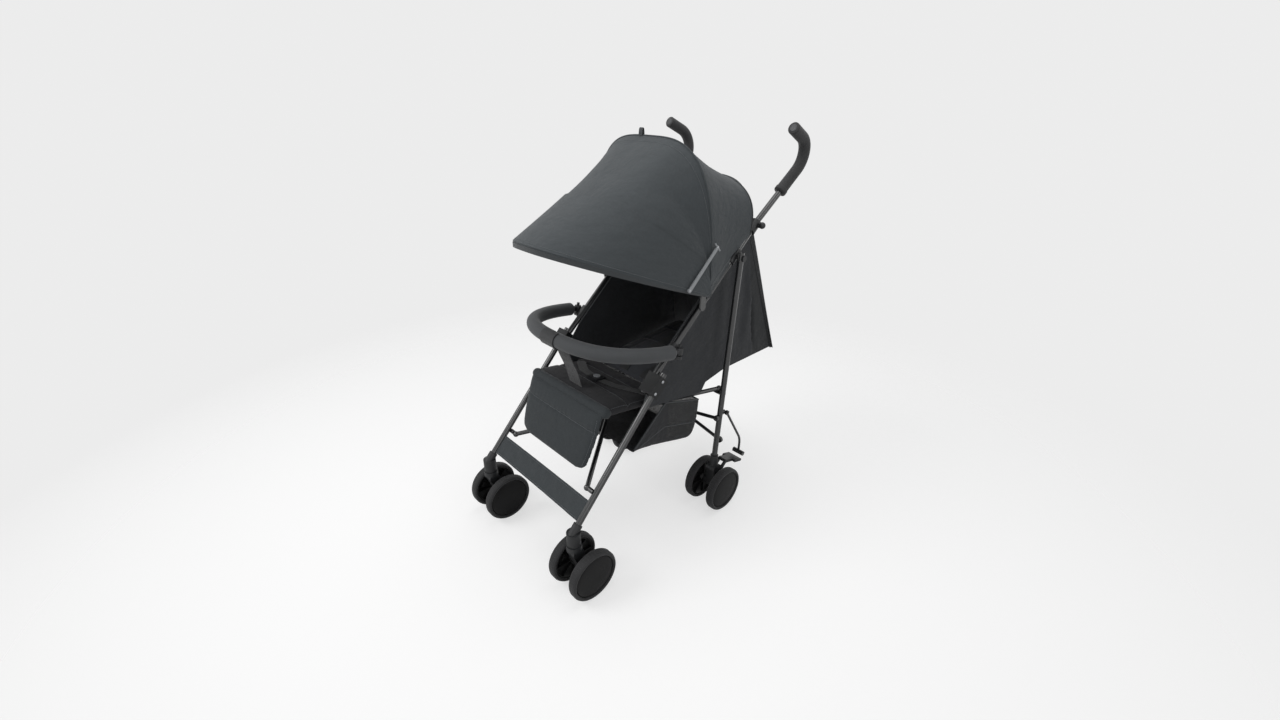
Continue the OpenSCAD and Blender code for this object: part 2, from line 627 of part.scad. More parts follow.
seat_crown = 8;
calf_crown = 5;
seat_front = [0, seat_front_y, seat_front_z];
seat_rear = seat_front + seat_len * [0, cos(seat_tilt), -sin(seat_tilt)];
back_hinge = seat_rear + [0, 2.8, 0];
module seat_pad() color("#24272a") stand() translate(seat_front) rotate([-seat_tilt, 0, 0])
    cushion(wing_x - seat_fit, seat_len, seat_t, seat_crown, [0.35, 0.68]);
module backrest() color("#24272a") stand() translate(back_hinge) rotate([back_tilt, 0, 0])
    cushion(wing_x - 3, back_len, back_t, 7, [0.25, 0.5, 0.75]);
calf_set = -pad_low(calf_t, calf_crown, 0, 0) / cos(calf_tilt) + seat_fit;
module calf_rest() color("#3d4447") stand() translate(seat_front - [0, calf_set, 0]) rotate([-90 - calf_tilt, 0, 0])
    mirror([0, 0, 1]) cushion(calf_w / 2, calf_len, calf_t, calf_crown, [0.3], 32);
module side_wing(s) color("#2d3134") side(s) stand() slab(wing_x + wing_t / 2, wing_t) polygon([
    [seat_front_y + 112, seat_front_z - 112 * tan(seat_tilt) - 3], [seat_rear.y, seat_rear.z - 4],
    [mid.y + 236, mid.z - 88], [block.y - 56, curtain_low.z + 2],
    [curtain_low.y - 12, curtain_low.z + 2], [block.y - 9, block.z - 38], [block.y - 36, block.z - 24], [push_pt(60).y, push_pt(60).z],
    [mid.y + 14, mid.z]]);
strap_t = 3;
module footrest_strap() color("#3f4548") stand() {
    low = leg_pt(38);
    high = leg_pt(92);
    half = leg_x - tube_r - seat_fit;
    slab(0, 2 * half) link2d([low.y, low.z], [high.y, high.z], strap_t / 2, strap_t / 2);
}
// The rear legs' line from the side, and how far in front of it the basket's low corner and its crest stay
function rear_line(z) = lerp(rear_foot, hinge, (z - rear_foot.z) / (hinge.z - rear_foot.z)).y;
basket_room = [39.66685, 38.51052];
basket_floor_z = 203;
basket_crest_z = 338;
basket_wall = 3;
basket_low = [[seat_front_y + 84, 275], [rear_line(basket_floor_z) - basket_room[0], basket_floor_z]];
basket_w = 2 * wing_x - 8;
module basket() color("#1f2123") stand() {
    front = basket_low[0];
    rear = basket_low[1];
    crest = [rear_line(basket_crest_z) - basket_room[1], basket_crest_z];
    back = 8;
    under_seat = pad_low(seat_t, seat_crown, basket_w / 2 / wing_x, 1 - back / seat_len);
    hang = [seat_rear.y - back, seat_rear.z + back * tan(seat_tilt) + under_seat - seat_fit - 0.2];
    lip = [front.x + 8, front.y + 10];
    slab(0, basket_w) polygon([front, rear, rear + [0, basket_wall], front + [0, basket_wall]]);
    slab(0, basket_w) polygon([rear, crest, crest - [basket_wall, 0], rear - [basket_wall, 0]]);
    for (s = [-1, 1])
        slab(s * (basket_w - basket_wall) / 2, basket_wall) polygon([front, rear, crest, hang, lip]);
}
module crotch_strap() color("#2a2d30") stand() {
    in = 30;
    low = [seat_front.y + in, seat_front.z - in * tan(seat_tilt) + 0.7 * seat_t + strap_t / 2 + seat_fit];
    high = [bumper_pt(90).y + bumper_d / 2 + strap_t / 2 + 2 * seat_fit, bumper_pt(90).z];
    slab(0, 50) link2d(low, high, strap_t / 2, strap_t / 2);
}
buckle_t = 10;
button_r = 9;
module on_seat(y, z) stand() translate(seat_front) rotate([-seat_tilt, 0, 0]) translate([0, y, z]) children();
module at_buckle() on_seat(94, 0.7 * seat_t + seat_fit + buckle_t / 2) children();
module buckle() color("#1b1b1c") at_buckle() difference() {
    cube([34, 34, buckle_t], center = true);
    translate([0, 0, 1]) cylinder(h = buckle_t, r = button_r + play);
}
module buckle_button() color("#4a4b4d") at_buckle() translate([0, 0, 4]) cylinder(h = 4, r = button_r);

front_leg(1);  // front_leg_l
push_tube(1);  // push_tube_l
grip(1);  // grip_l
mid_bracket(1);  // mid_bracket_l
bumper_socket(1);  // bumper_socket_l
upper_block(1);  // upper_block_l
leg_hinge(1);  // leg_hinge_l
rear_leg(1);  // rear_leg_l
caster_socket(1);  // caster_socket_l
caster_fork(1);  // caster_fork_l
front_axle(1);  // front_axle_l
front_wheel(1, 1);  // front_wheel_outer_l
front_wheel(1, -1);  // front_wheel_inner_l
rear_hub(1);  // rear_hub_l
rear_axle(1);  // rear_axle_l
rear_wheel(1, 1);  // rear_wheel_outer_l
rear_wheel(1, -1);  // rear_wheel_inner_l
brake_pedal(1);  // brake_pedal_l
cross_bar(1);  // cross_bar_l
rear_cross_bar(1);  // rear_cross_bar_l
bumper(1);  // bumper_l
canopy_stay(1);  // canopy_stay_l
side_wing(1);  // side_wing_l
front_leg(-1);  // front_leg_r
push_tube(-1);  // push_tube_r
grip(-1);  // grip_r
mid_bracket(-1);  // mid_bracket_r
bumper_socket(-1);  // bumper_socket_r
upper_block(-1);  // upper_block_r
leg_hinge(-1);  // leg_hinge_r
rear_leg(-1);  // rear_leg_r
caster_socket(-1);  // caster_socket_r
caster_fork(-1);  // caster_fork_r
front_axle(-1);  // front_axle_r
front_wheel(-1, 1);  // front_wheel_outer_r
front_wheel(-1, -1);  // front_wheel_inner_r
rear_hub(-1);  // rear_hub_r
rear_axle(-1);  // rear_axle_r
rear_wheel(-1, 1);  // rear_wheel_outer_r
rear_wheel(-1, -1);  // rear_wheel_inner_r
brake_pedal(-1);  // brake_pedal_r
cross_bar(-1);  // cross_bar_r
rear_cross_bar(-1);  // rear_cross_bar_r
bumper(-1);  // bumper_r
canopy_stay(-1);  // canopy_stay_r
side_wing(-1);  // side_wing_r
fold_lever();
seat_pad();
backrest();
calf_rest();
basket();
footrest_strap();
crotch_strap();
buckle();
buckle_button();
canopy_visor();
canopy_rear();
rear_curtain();
front_hoop();
main_hoop();
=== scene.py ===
# %% [markdown]
# # A folding stroller, sewn and finished
# The tubes, brackets and wheels arrive from a CAD model, in metres and already in place. This lesson keeps
# the hard parts, gives them worn and believable finishes, and makes the soft parts that a CAD solid can only
# block out: padded seat, canopy, basket, straps and foam. Everything is measured from the front axle, the way
# a frame builder would lay out the tubes, so a number here can be checked with a ruler on the real thing.

# %% Load the CAD frame
import math

import bmesh
import bpy
from mathutils import Matrix, Vector, noise
from mathutils.bvhtree import BVHTree


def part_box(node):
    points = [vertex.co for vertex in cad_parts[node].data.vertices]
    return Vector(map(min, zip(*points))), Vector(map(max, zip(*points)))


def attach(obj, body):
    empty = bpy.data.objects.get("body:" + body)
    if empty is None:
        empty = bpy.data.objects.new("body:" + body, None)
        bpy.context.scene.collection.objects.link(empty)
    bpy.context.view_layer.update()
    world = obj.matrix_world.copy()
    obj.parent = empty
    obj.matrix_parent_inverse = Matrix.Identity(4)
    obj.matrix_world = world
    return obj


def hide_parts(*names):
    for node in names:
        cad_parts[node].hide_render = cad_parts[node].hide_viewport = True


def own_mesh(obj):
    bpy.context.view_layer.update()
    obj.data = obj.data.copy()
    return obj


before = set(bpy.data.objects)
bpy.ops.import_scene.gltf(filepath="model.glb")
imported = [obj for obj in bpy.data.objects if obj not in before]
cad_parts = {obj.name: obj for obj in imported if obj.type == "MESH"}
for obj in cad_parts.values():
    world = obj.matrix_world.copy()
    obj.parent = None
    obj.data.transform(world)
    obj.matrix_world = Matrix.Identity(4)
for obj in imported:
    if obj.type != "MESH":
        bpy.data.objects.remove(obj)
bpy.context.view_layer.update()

wheel_low, wheel_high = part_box("front_wheel_outer_l")
axle_y = (wheel_low.y + wheel_high.y) / 2
SIDES = {"l": 1, "r": -1}
ACROSS, BACK, UP = Vector((1, 0, 0)), Vector((0, 1, 0)), Vector((0, 0, 1))


def place(x, y, z):
    """Millimetres, y counted back from the front axle and z up from the floor, as the frame's metres."""
    return Vector((x / 1000, y / 1000 + axle_y, z / 1000))


print(len(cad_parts), "CAD nodes; front axle at y =", round(axle_y, 4))

# %% [markdown]
# The camera comes first, because every later choice is judged through it. The picture was taken from the
# front, on the plus X side and a little above the canopy, with a wide lens close to the stroller, so that the
# handles lean away and the front wheels look large. A position, three angles and a focal length say all of that.
# Blender's camera looks along its own minus Z, so its matrix is simply right, up and backward side by side.

# %% The camera
SENSOR_WIDTH, PICTURE_WIDTH = 36, 1280


def camera_at(spot, turn, tilt, roll, focal_pixels):
    turn, tilt, roll = (math.radians(angle) for angle in (turn, tilt, roll))
    backward = Vector((math.sin(turn) * math.cos(tilt), -math.cos(turn) * math.cos(tilt), math.sin(tilt)))
    level = Vector((math.cos(turn), math.sin(turn), 0))
    rise = backward.cross(level)
    right = level * math.cos(roll) + rise * math.sin(roll)
    up = rise * math.cos(roll) - level * math.sin(roll)
    lens = bpy.data.cameras.new("camera")
    lens.sensor_width = SENSOR_WIDTH
    lens.lens = SENSOR_WIDTH * focal_pixels / PICTURE_WIDTH
    camera = bpy.data.objects.new("camera", lens)
    camera.matrix_world = Matrix.Translation(spot) @ Matrix((right, up, backward)).transposed().to_4x4()
    bpy.context.scene.collection.objects.link(camera)
    bpy.context.scene.camera = camera
    return camera


camera = camera_at(place(962.3, -567.8, 1090), turn=45.7, tilt=26.0, roll=1.0, focal_pixels=531)
print("lens", round(camera.data.lens, 2), "mm")

# %% [markdown]
# Finishes are written as shader maths, and shader maths reads best as ordinary arithmetic. Nodes could be wired by
# hand, but a weave alone needs a dozen of them. So one small class wraps a number socket and answers to +, - and *
# by adding a Math node, and a formula in Python becomes the same formula in the shader.

# %% Numbers in a shader
class Amount:
    """One number in a shader, on which Python's operators work."""

    def __init__(self, finish, socket):
        self.finish, self.socket = finish, socket

    def maths(self, operation, *values):
        made = self.finish.node("ShaderNodeMath", {"operation": operation}, dict(enumerate(values)))
        return Amount(self.finish, made.outputs[0])

    def __add__(self, other):
        return self.maths("ADD", self, other)

    def __sub__(self, other):
        return self.maths("SUBTRACT", self, other)

    def __rsub__(self, other):
        return self.maths("SUBTRACT", other, self)

    def __mul__(self, other):
        return self.maths("MULTIPLY", self, other)

    __radd__, __rmul__ = __add__, __mul__

    def wave(self):
        return self.maths("SINE", self)

    def size(self):
        return self.maths("ABSOLUTE", self)

    def above(self, limit, soft=0.02):
        """0 below the limit and 1 above it, with a soft step."""
        made = self.finish.node("ShaderNodeMapRange", {}, {0: self, 1: limit - soft, 2: limit + soft})
        return Amount(self.finish, made.outputs[0])


print("shader numbers add, subtract and multiply")

# %% [markdown]
# A second class owns the material and makes every other kind of node with one method, which takes the node's type,
# its settings and what goes into its sockets. Colours go through a Mix node, because a Math node would turn them
# grey. A value that is the same all over the surface stays on the shader's own socket.

# %% A material that makes its own nodes
class Finish:
    """A material whose look is written as expressions on its own coordinates."""

    def __init__(self, name, colour, rough, **constants):
        self.material = bpy.data.materials.new(name)
        self.material.use_nodes = True
        self.tree = self.material.node_tree
        self.shader = self.tree.nodes["Principled BSDF"]
        self.show("Base Color", (*colour, 1))
        self.show("Roughness", rough)
        for key, value in constants.items():
            self.show(key.replace("_", " ").title().replace("Ior", "IOR"), value)

    def node(self, kind, settings, sockets):
        made = self.tree.nodes.new(kind)
        for key, value in settings.items():
            setattr(made, key, value)
        for key, value in sockets.items():
            self.feed(made.inputs[key], value)
        return made

    def feed(self, socket, value):
        if isinstance(value, Amount):
            value = value.socket
        if isinstance(value, bpy.types.NodeSocket):
            self.tree.links.new(value, socket)
        else:
            socket.default_value = value

    def show(self, socket, value):
        self.feed(self.shader.inputs[socket], value)

    def coords(self, kind="Object"):
        return self.node("ShaderNodeTexCoord", {}, {}).outputs[kind]

    def parts(self, where):
        made = self.node("ShaderNodeSeparateXYZ", {}, {0: where})
        return [Amount(self, socket) for socket in made.outputs]

    def stretch(self, where, scale):
        return self.node("ShaderNodeVectorMath", {"operation": "MULTIPLY"}, {0: where, 1: scale}).outputs[0]

    def noise(self, where, scale, detail=2.0):
        made = self.node("ShaderNodeTexNoise", {}, {"Vector": where, "Scale": scale, "Detail": detail})
        return Amount(self, made.outputs[0])

    def mix(self, share, first, second):
        first, second = ((*c, 1) if isinstance(c, tuple) else c for c in (first, second))
        made = self.node("ShaderNodeMix", {"data_type": "RGBA"}, {0: share, 6: first, 7: second})
        return made.outputs[2]

    def bump(self, height, depth, strength=1.0):
        made = self.node("ShaderNodeBump", {}, {"Strength": strength, "Distance": depth, "Height": height})
        self.show("Normal", made.outputs[0])


def grey(red, green, blue):
    """An 8-bit picture colour as the linear colour that a shader wants."""
    return tuple((c / 255 / 12.92) if c < 11 else ((c / 255 + 0.055) / 1.055) ** 2.4 for c in (red, green, blue))


def shaded(colour, gain, lift=0.0):
    """A colour made darker or paler."""
    return tuple(c * gain + lift for c in colour)


print("slate reads as", [round(c, 3) for c in grey(78, 83, 86)])

# %% [markdown]
# The frame is steel tube with a satin black powder coat. Powder flows out like the skin of an orange when it
# is baked, so a fine bump carries that; use leaves faint pale scuffs, which come from a noise stretched along
# the tubes and cut off high, so that only its peaks show. Moulded plastic has a spark-eroded grain instead.

# %% Finishes for the hard parts
def powder_coat(name, colour, scuff):
    finish = Finish(name, colour, 0.3, coat_weight=0.8, coat_roughness=0.08)
    where = finish.coords()
    cloud = finish.noise(where, 22, 4)
    worn = finish.noise(finish.stretch(where, (60, 18, 18)), 5, 5).above(0.68, 0.04)
    finish.show("Base Color", finish.mix(worn * 0.35, colour, scuff))
    finish.show("Roughness", 0.22 + cloud * 0.16 + worn * 0.15)
    finish.bump(finish.noise(where, 900, 1) + finish.noise(where, 260, 1) * 0.6, 0.00012, 0.6)
    return finish.material


def moulded(name, colour, rough, grain=1300, shine=0.5):
    finish = Finish(name, colour, rough, specular_ior_level=shine)
    where = finish.coords()
    shade = finish.noise(where, 14, 3)
    rubbed = finish.noise(where, 75, 4).above(0.66, 0.05)
    finish.show("Base Color", finish.mix(shade * 0.5 + rubbed * 0.25, colour, shaded(colour, 1.5, 0.006)))
    finish.show("Roughness", rough - 0.08 + shade * 0.16 - rubbed * 0.08)
    finish.bump(finish.noise(where, grain, 2), 0.00015, 0.55)
    return finish.material


def foam(name, colour):
    """Closed-cell foam: pores in the skin, and a bloom of dust that is a little paler."""
    finish = Finish(name, colour, 0.78, sheen_weight=0.15)
    where = finish.coords()
    pores = finish.noise(where, 1500, 2)
    bloom = finish.noise(where, 30, 4)
    finish.show("Base Color", finish.mix(bloom * 0.7 + pores * 0.3, colour, shaded(colour, 1.55, 0.004)))
    finish.show("Roughness", 0.66 + bloom * 0.22)
    finish.bump(pores + finish.noise(where, 420, 2) * 0.7, 0.00035, 0.6)
    return finish.material


def steel(name, colour, rough):
    finish = Finish(name, colour, rough, metallic=1.0)
    where = finish.coords()
    lines = finish.noise(finish.stretch(where, (40, 900, 900)), 2, 3)
    finish.show("Roughness", rough - 0.08 + lines * 0.2)
    finish.bump(lines, 0.00006, 0.5)
    return finish.material


print("four ways to finish a hard part")

# %% [markdown]
# Now each CAD part gets one of them. The tubes share the powder coat, brackets, hubs and pedals are black plastic,
# and the axles are zinc-plated steel. A CAD part keeps its mesh, so it is enough to change the material in its slot.
# The table names kinds of part: the left and the right one share a name up to its last two letters.

# %% Hard parts get their finish
FRAME_BLACK = powder_coat("frame_powder_coat", grey(25, 26, 28), grey(110, 112, 114))
BLACK = moulded("moulded_black", grey(25, 26, 28), 0.44)
GREY = moulded("moulded_grey", grey(146, 149, 152), 0.36)
KNEE_GREY = moulded("knee_grey", grey(24, 25, 26), 0.5, shine=0.3)
CAP = moulded("cap_grey", grey(62, 63, 65), 0.5)
GRIP_FOAM = foam("handle_foam", grey(41, 41, 42))
BUMPER_FOAM = foam("bumper_foam", grey(62, 64, 66))
TREAD = foam("tyre_rubber", grey(23, 23, 25))
DISC = moulded("wheel_disc", grey(13, 13, 14), 0.34, 700, 0.2)
ZINC = steel("zinc_steel", grey(170, 172, 175), 0.34)
HOOP = moulded("hoop_plastic", grey(38, 40, 42), 0.4)

HARD = {
    FRAME_BLACK: ("front_leg", "push_tube", "rear_leg", "cross_bar", "rear_cross_bar", "fold_lever"),
    BLACK: (
        "bumper_socket", "upper_block", "leg_hinge", "caster_socket", "caster_fork", "rear_hub", "brake_pedal",
        "buckle",
    ),
    GREY: ("canopy_stay", "buckle_button"),
    KNEE_GREY: ("mid_bracket",),
    ZINC: ("front_axle", "rear_axle"),
}
for material, names in HARD.items():
    for node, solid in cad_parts.items():
        if node in names or node[:-2] in names:
            solid.data.materials.clear()
            solid.data.materials.append(material)
print(sum(len(names) for names in HARD.values()), "kinds of hard part finished")

# %% [markdown]
# The soft parts are woven polyester in several greys: slate for the canopy, a little darker for the seat's front
# and the calf rest, and charcoal for the side wings. Darker greys are painted shade: nearly black on the seat pad
# behind its front edge, and a deeper charcoal on the wings behind their pleat and on the rear curtain. The backrest
# is painted paler, as painted light. A weave is two crossed waves, the yarn varies a little along its length, and a
# broad soft noise gives the cloth the slight waviness that catches studio light. Sheets carry UVs in metres; pads
# are remeshed later, so their weave runs on Object coordinates.

# %% A weave
def woven(name, colour, where="UV", thread=0.0012, ripple=1.0, rough=0.84, sheen=0.22, second=None):
    """Plain weave; second is a darker grey painted as shade, the place behind which it begins, and how far that line
    leans.
    """
    finish = Finish(name, colour, rough, sheen_weight=sheen, sheen_roughness=0.45)
    spot = finish.coords(where)
    x, y, z = finish.parts(spot)
    along = y if where == "UV" else y * 0.8 + z * 0.6
    warp = (x * (math.tau / thread)).wave()
    weft = (along * (math.tau / thread)).wave()
    weave = warp * weft
    warp_yarn = finish.noise(finish.stretch(spot, (900, 60, 900)), 1, 2)
    weft_yarn = finish.noise(finish.stretch(spot, (60, 900, 60)), 1, 2)
    yarn = warp_yarn + weft_yarn
    cloud = finish.noise(spot, 9, 3)
    shade = (yarn - 1) * 0.55 + (cloud - 0.5) * 0.5 + weave * 0.12 + 0.5
    tone = finish.mix(shade, shaded(colour, 0.72), shaded(colour, 1.3, 0.002))
    # Painted shade: behind a line the cloth takes a second, darker grey.
    if second:
        other, seam, lean = second
        line = x + y * lean if where == "UV" else y
        behind = finish.mix(shade, shaded(other, 0.72), shaded(other, 1.3, 0.002))
        tone = finish.mix(line.above(seam, 0.0008), tone, behind)
    finish.show("Base Color", tone)
    finish.show("Roughness", rough - 0.06 + cloud * 0.12)
    waves = finish.noise(spot, 26, 2) * (3.2 * ripple) + finish.noise(spot, 75, 2) * (0.8 * ripple)
    finish.bump(waves + weave * 0.07 + yarn * 0.05, 0.0012, 0.75)
    return finish.material


print("a weave is two crossed waves")

# %% [markdown]
# Two more cloths are made otherwise. The basket's walls are airmesh, whose holes are too many to model, so alpha cuts
# them out of a plain sheet. Straps and bindings are webbing, a dense herringbone: a slanted wave that turns back at
# the middle of the strap.

# %% Airmesh and webbing
def open_mesh(name, colour, hole=0.0026):
    """Airmesh: round holes on a staggered grid, cut by alpha, with the cords between them left standing."""
    finish = Finish(name, colour, 0.7, sheen_weight=0.15)
    x, y, z = finish.parts(finish.coords("UV"))
    k = math.tau / hole
    cells = (x * k).wave() * (y * k).wave()
    solid = (0.42 - cells.size()).above(0, 0.1)
    finish.show("Alpha", solid * 0.5 + 0.5)
    finish.show("Roughness", 0.62 + cells * 0.1)
    finish.bump(cells.size(), 0.0004, 0.8)
    return finish.material


def webbing(name, colour):
    """Narrow woven strap: a herringbone across the width and a firm selvedge."""
    finish = Finish(name, colour, 0.62, sheen_weight=0.2)
    spot = finish.coords("UV")
    x, y, z = finish.parts(spot)
    twill = (x.size() * 1500 + y * 1500).wave()
    wear = finish.noise(spot, 40, 3)
    finish.show("Base Color", finish.mix(twill * 0.25 + wear * 0.5, shaded(colour, 0.75), shaded(colour, 1.4)))
    finish.show("Roughness", 0.55 + wear * 0.15)
    finish.bump(twill, 0.0003, 0.8)
    return finish.material


print("airmesh and webbing")

# %% [markdown]
# With these ways in place each cloth is one line: its grey as the picture shows it, whether its weave runs on UV or
# Object coordinates, and how wavy it hangs. Two cloths have a second, darker grey behind a line, which is painted
# shade: the wing behind its pleat, and the seat pad toward the back. The curtain is painted darker as shade, and
# the backrest paler, as painted light.

# %% The stroller's cloths
CANOPY = woven("canopy_weave", grey(63, 68, 71), sheen=0.16)
PLEAT_TOP, PLEAT_LEAN = (615, 752), 0.21
pleat_seam = place(0, PLEAT_TOP[0] + PLEAT_TOP[1] * PLEAT_LEAN, 0).y
# Painted shade: behind its pleat the wing is painted in a darker grey, for the shade that falls behind the rear leg.
wing_rear_painted_shade = (grey(31, 33, 35), pleat_seam, PLEAT_LEAN)
WING = woven("wing_weave_with_painted_shade", grey(42, 44, 47), ripple=1.5, sheen=0.06, second=wing_rear_painted_shade)
# Painted shade: the curtain is painted darker than the wing cloth it matches, for the shade on its rear-facing side.
CURTAIN = woven("curtain_weave_painted_shade", grey(31, 33, 35), ripple=1.4, sheen=0.06)
# Painted light: the backrest's grey is paler than its cloth, to lift it out of the deep shade under the canopy.
BACKREST_PAINTED_LIGHT = woven("back_weave_painted_light", grey(50, 52, 57), "Object", ripple=0.7)
# Painted shade: behind its front edge the seat pad is painted nearly black, for the shade that falls on it under the
# canopy.
seat_rear_painted_shade = (grey(24, 24, 27), place(0, 128, 0).y, 0)
SEAT = woven("seat_weave_with_painted_shade", grey(44, 49, 52), "Object", ripple=0.7, sheen=0.08, second=seat_rear_painted_shade)
CALF = woven("calf_weave", grey(44, 49, 52), "Object", ripple=0.6, sheen=0.1)
FOOT = woven("foot_weave", grey(52, 57, 60))
LINING = woven("basket_weave", grey(32, 33, 36), ripple=1.6, sheen=0.08)
MESH = open_mesh("basket_mesh", grey(27, 28, 30))
TRIM = webbing("edge_binding", grey(52, 56, 59))
STRAP = webbing("strap_webbing", grey(33, 34, 36))
THREAD = moulded("sewing_thread", grey(96, 100, 103), 0.7)
print("eleven cloths and a thread")

# %% [markdown]
# Most of the soft parts begin as a grid of points: rows across, columns along. One function turns such a grid
# into a mesh, measures its rows and columns for UVs in metres, and gives it a thickness with Solidify. The
# modifier is applied by copying the evaluated mesh, so that what rides on the frame is a plain mesh.

# %% Grids and thickness
CLOTH_THICK, LIGHT_THICK = 0.0016, 0.0014


def dressed(mesh, material):
    mesh.materials.clear()
    mesh.materials.append(material)
    mesh.polygons.foreach_set("use_smooth", [True] * len(mesh.polygons))


def as_piece(name, mesh, material):
    piece = bpy.data.objects.new(name, mesh)
    bpy.context.scene.collection.objects.link(piece)
    dressed(mesh, material)
    return piece


def baked(piece):
    """The piece with its modifiers made real."""
    graph = bpy.context.evaluated_depsgraph_get()
    made = piece.evaluated_get(graph)
    final = bpy.data.meshes.new_from_object(made, preserve_all_data_layers=True, depsgraph=graph)
    piece.modifiers.clear()
    piece.data = final
    return piece


def grid_mesh(name, rows, wrap=False):
    mesh = bpy.data.meshes.new(name)
    wide = len(rows[0])
    runs = [0.0]
    middle = rows[len(rows) // 2]
    for a, b in zip(middle, middle[1:] + middle[:1]):
        runs.append(runs[-1] + (b - a).length)
    drops = [0.0]
    for above, below in zip(rows, rows[1:]):
        drops.append(drops[-1] + (below[wide // 2] - above[wide // 2]).length)
    faces, uvs = [], []
    for i in range(len(rows) - 1):
        for j in range(wide if wrap else wide - 1):
            k = (j + 1) % wide
            faces.append((i * wide + j, i * wide + k, (i + 1) * wide + k, (i + 1) * wide + j))
            low, high, near, far = drops[i], drops[i + 1], runs[j], runs[j + 1]
            uvs += [(near, low), (far, low), (far, high), (near, high)]
    mesh.from_pydata([p for row in rows for p in row], [], faces)
    layer = mesh.uv_layers.new(name="cloth")
    layer.data.foreach_set("uv", [n for uv in uvs for n in uv])
    return mesh


def closed(mesh, weld=False, capped=False, most_corners=None):
    """One shell: doubles merged, open ends capped, large caps cut up, and all faces turned outward."""
    shell = bmesh.new()
    shell.from_mesh(mesh)
    if weld:
        bmesh.ops.remove_doubles(shell, verts=shell.verts, dist=1e-6)
    if capped:
        bmesh.ops.holes_fill(shell, edges=[e for e in shell.edges if e.is_boundary])
    if most_corners:
        bmesh.ops.triangulate(shell, faces=[f for f in shell.faces if len(f.verts) > most_corners])
    bmesh.ops.recalc_face_normals(shell, faces=shell.faces)
    shell.to_mesh(mesh)
    shell.free()
    return mesh


def thickened(piece, thick, offset):
    """A sheet given its thickness, with crisp cut edges."""
    body = piece.modifiers.new("cloth", "SOLIDIFY")
    body.thickness, body.offset = thick, offset
    baked(piece)
    closed(piece.data)
    piece.data.set_sharp_from_angle(angle=math.radians(50))
    return piece


def cloth_sheet(name, rows, material, thick, offset=-1.0):
    """A sheet of cloth from a grid; offset -1 thickens it to the inside of its normals, 0 to both sides."""
    return thickened(as_piece(name, grid_mesh(name, rows), material), thick, offset)


print("a sheet is", CLOTH_THICK * 1000, "mm thick")

# %% [markdown]
# Round things come from the same grid, closed into a ring. A tube carries a circle along a path, with its own radius
# at each point, so that foam can swell and a seam can taper. A turned shape carries a profile round an axis, as on a
# lathe, and merges the points at its poles. A curve with a bevel would do too, but a grid gives the UVs as well.

# %% Tubes and turned shapes
def circle(around):
    """Cosines and sines of even steps round a circle."""
    return [(math.cos(math.tau * k / around), math.sin(math.tau * k / around)) for k in range(around)]


def tube(name, path, radii, material, side, around):
    """A round bar with closed ends along a path in a plane; radii is one radius, or a list with one for each point."""
    radii = radii if isinstance(radii, list) else [radii] * len(path)
    rows = []
    for i, spot in enumerate(path):
        ahead = (path[min(i + 1, len(path) - 1)] - path[max(i - 1, 0)]).normalized()
        across = (side - ahead * side.dot(ahead)).normalized()
        lift = ahead.cross(across)
        rows.append([spot + radii[i] * (across * c + lift * s) for c, s in circle(around)])
    return as_piece(name, closed(grid_mesh(name, rows, wrap=True), capped=True), material)


def spun(name, profile, centre, facing, material, around=96):
    """A profile of (radius, out) millimetres spun round the X axis; facing is the way its outer side looks."""
    rows = []
    for radius, out in profile:
        rows.append([centre + Vector((facing * out, radius * c, radius * s)) / 1000 for c, s in circle(around)])
    return as_piece(name, closed(grid_mesh(name, rows, wrap=True), weld=True), material)


print("tubes and turned shapes")

# %% [markdown]
# A few measures come up again and again: a path in even steps, its length, and the cloth that was cut for a sheet,
# which is half the area of both its faces. The last helper says what carries a piece: the body that it rides on, the
# CAD part that it replaces, and whether it gets a mesh of its own.

# %% Runs, areas and carriers
def even_path(points, step):
    """Points resampled at an even step along the run of a path."""
    out, carry = [points[0]], 0.0
    for a, b in zip(points, points[1:]):
        length = (b - a).length
        while length and carry + length >= step:
            a = a.lerp(b, (step - carry) / length)
            out.append(a)
            length = (b - a).length
            carry = 0.0
        carry += length
    if (points[-1] - out[-1]).length > 1e-6:
        out.append(points[-1])
    return out


def run_of(points):
    return sum((b - a).length for a, b in zip(points, points[1:]))


def flat_area(piece):
    return sum(face.area for face in piece.data.polygons) / 2


def carried(piece, body, keep=None, node=None):
    """Rides a piece on a body; node is the CAD part that it hides, and keep gives the piece its own mesh."""
    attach(piece, body)
    if node:
        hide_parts(node)
    if keep:
        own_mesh(piece)
    return piece


# %% [markdown]
# Stitches, rivets and tread bars repeat, so each is one Geometry Nodes tree. A tree is built once, with named inputs
# for its sizes. Each tree ends in Realize Instances and Set Material, so that its result is real mesh with a finish
# of its own. Three short helpers start a tree, add a node and finish it.

# %% Building a tree
def new_tree(name, **inputs):
    tree = bpy.data.node_groups.new(name, "GeometryNodeTree")
    tree.interface.new_socket("Geometry", in_out="INPUT", socket_type="NodeSocketGeometry")
    for label, kind in inputs.items():
        tree.interface.new_socket(label, in_out="INPUT", socket_type="NodeSocket" + kind)
    tree.interface.new_socket("Geometry", in_out="OUTPUT", socket_type="NodeSocketGeometry")
    return tree, tree.nodes.new("NodeGroupInput").outputs, tree.nodes.new("NodeGroupOutput").inputs


def add_node(tree, kind, settings, sockets):
    made = tree.nodes.new(kind)
    for key, value in settings.items():
        setattr(made, key, value)
    for key, value in sockets.items():
        if isinstance(value, bpy.types.NodeSocket):
            tree.links.new(value, made.inputs[key])
        else:
            made.inputs[key].default_value = value
    return made.outputs


def finish_tree(tree, shapes, material, result):
    solid = add_node(tree, "GeometryNodeRealizeInstances", {}, {0: shapes})[0]
    painted = add_node(tree, "GeometryNodeSetMaterial", {}, {"Geometry": solid, "Material": material})[0]
    tree.links.new(painted, result[0])
    return tree


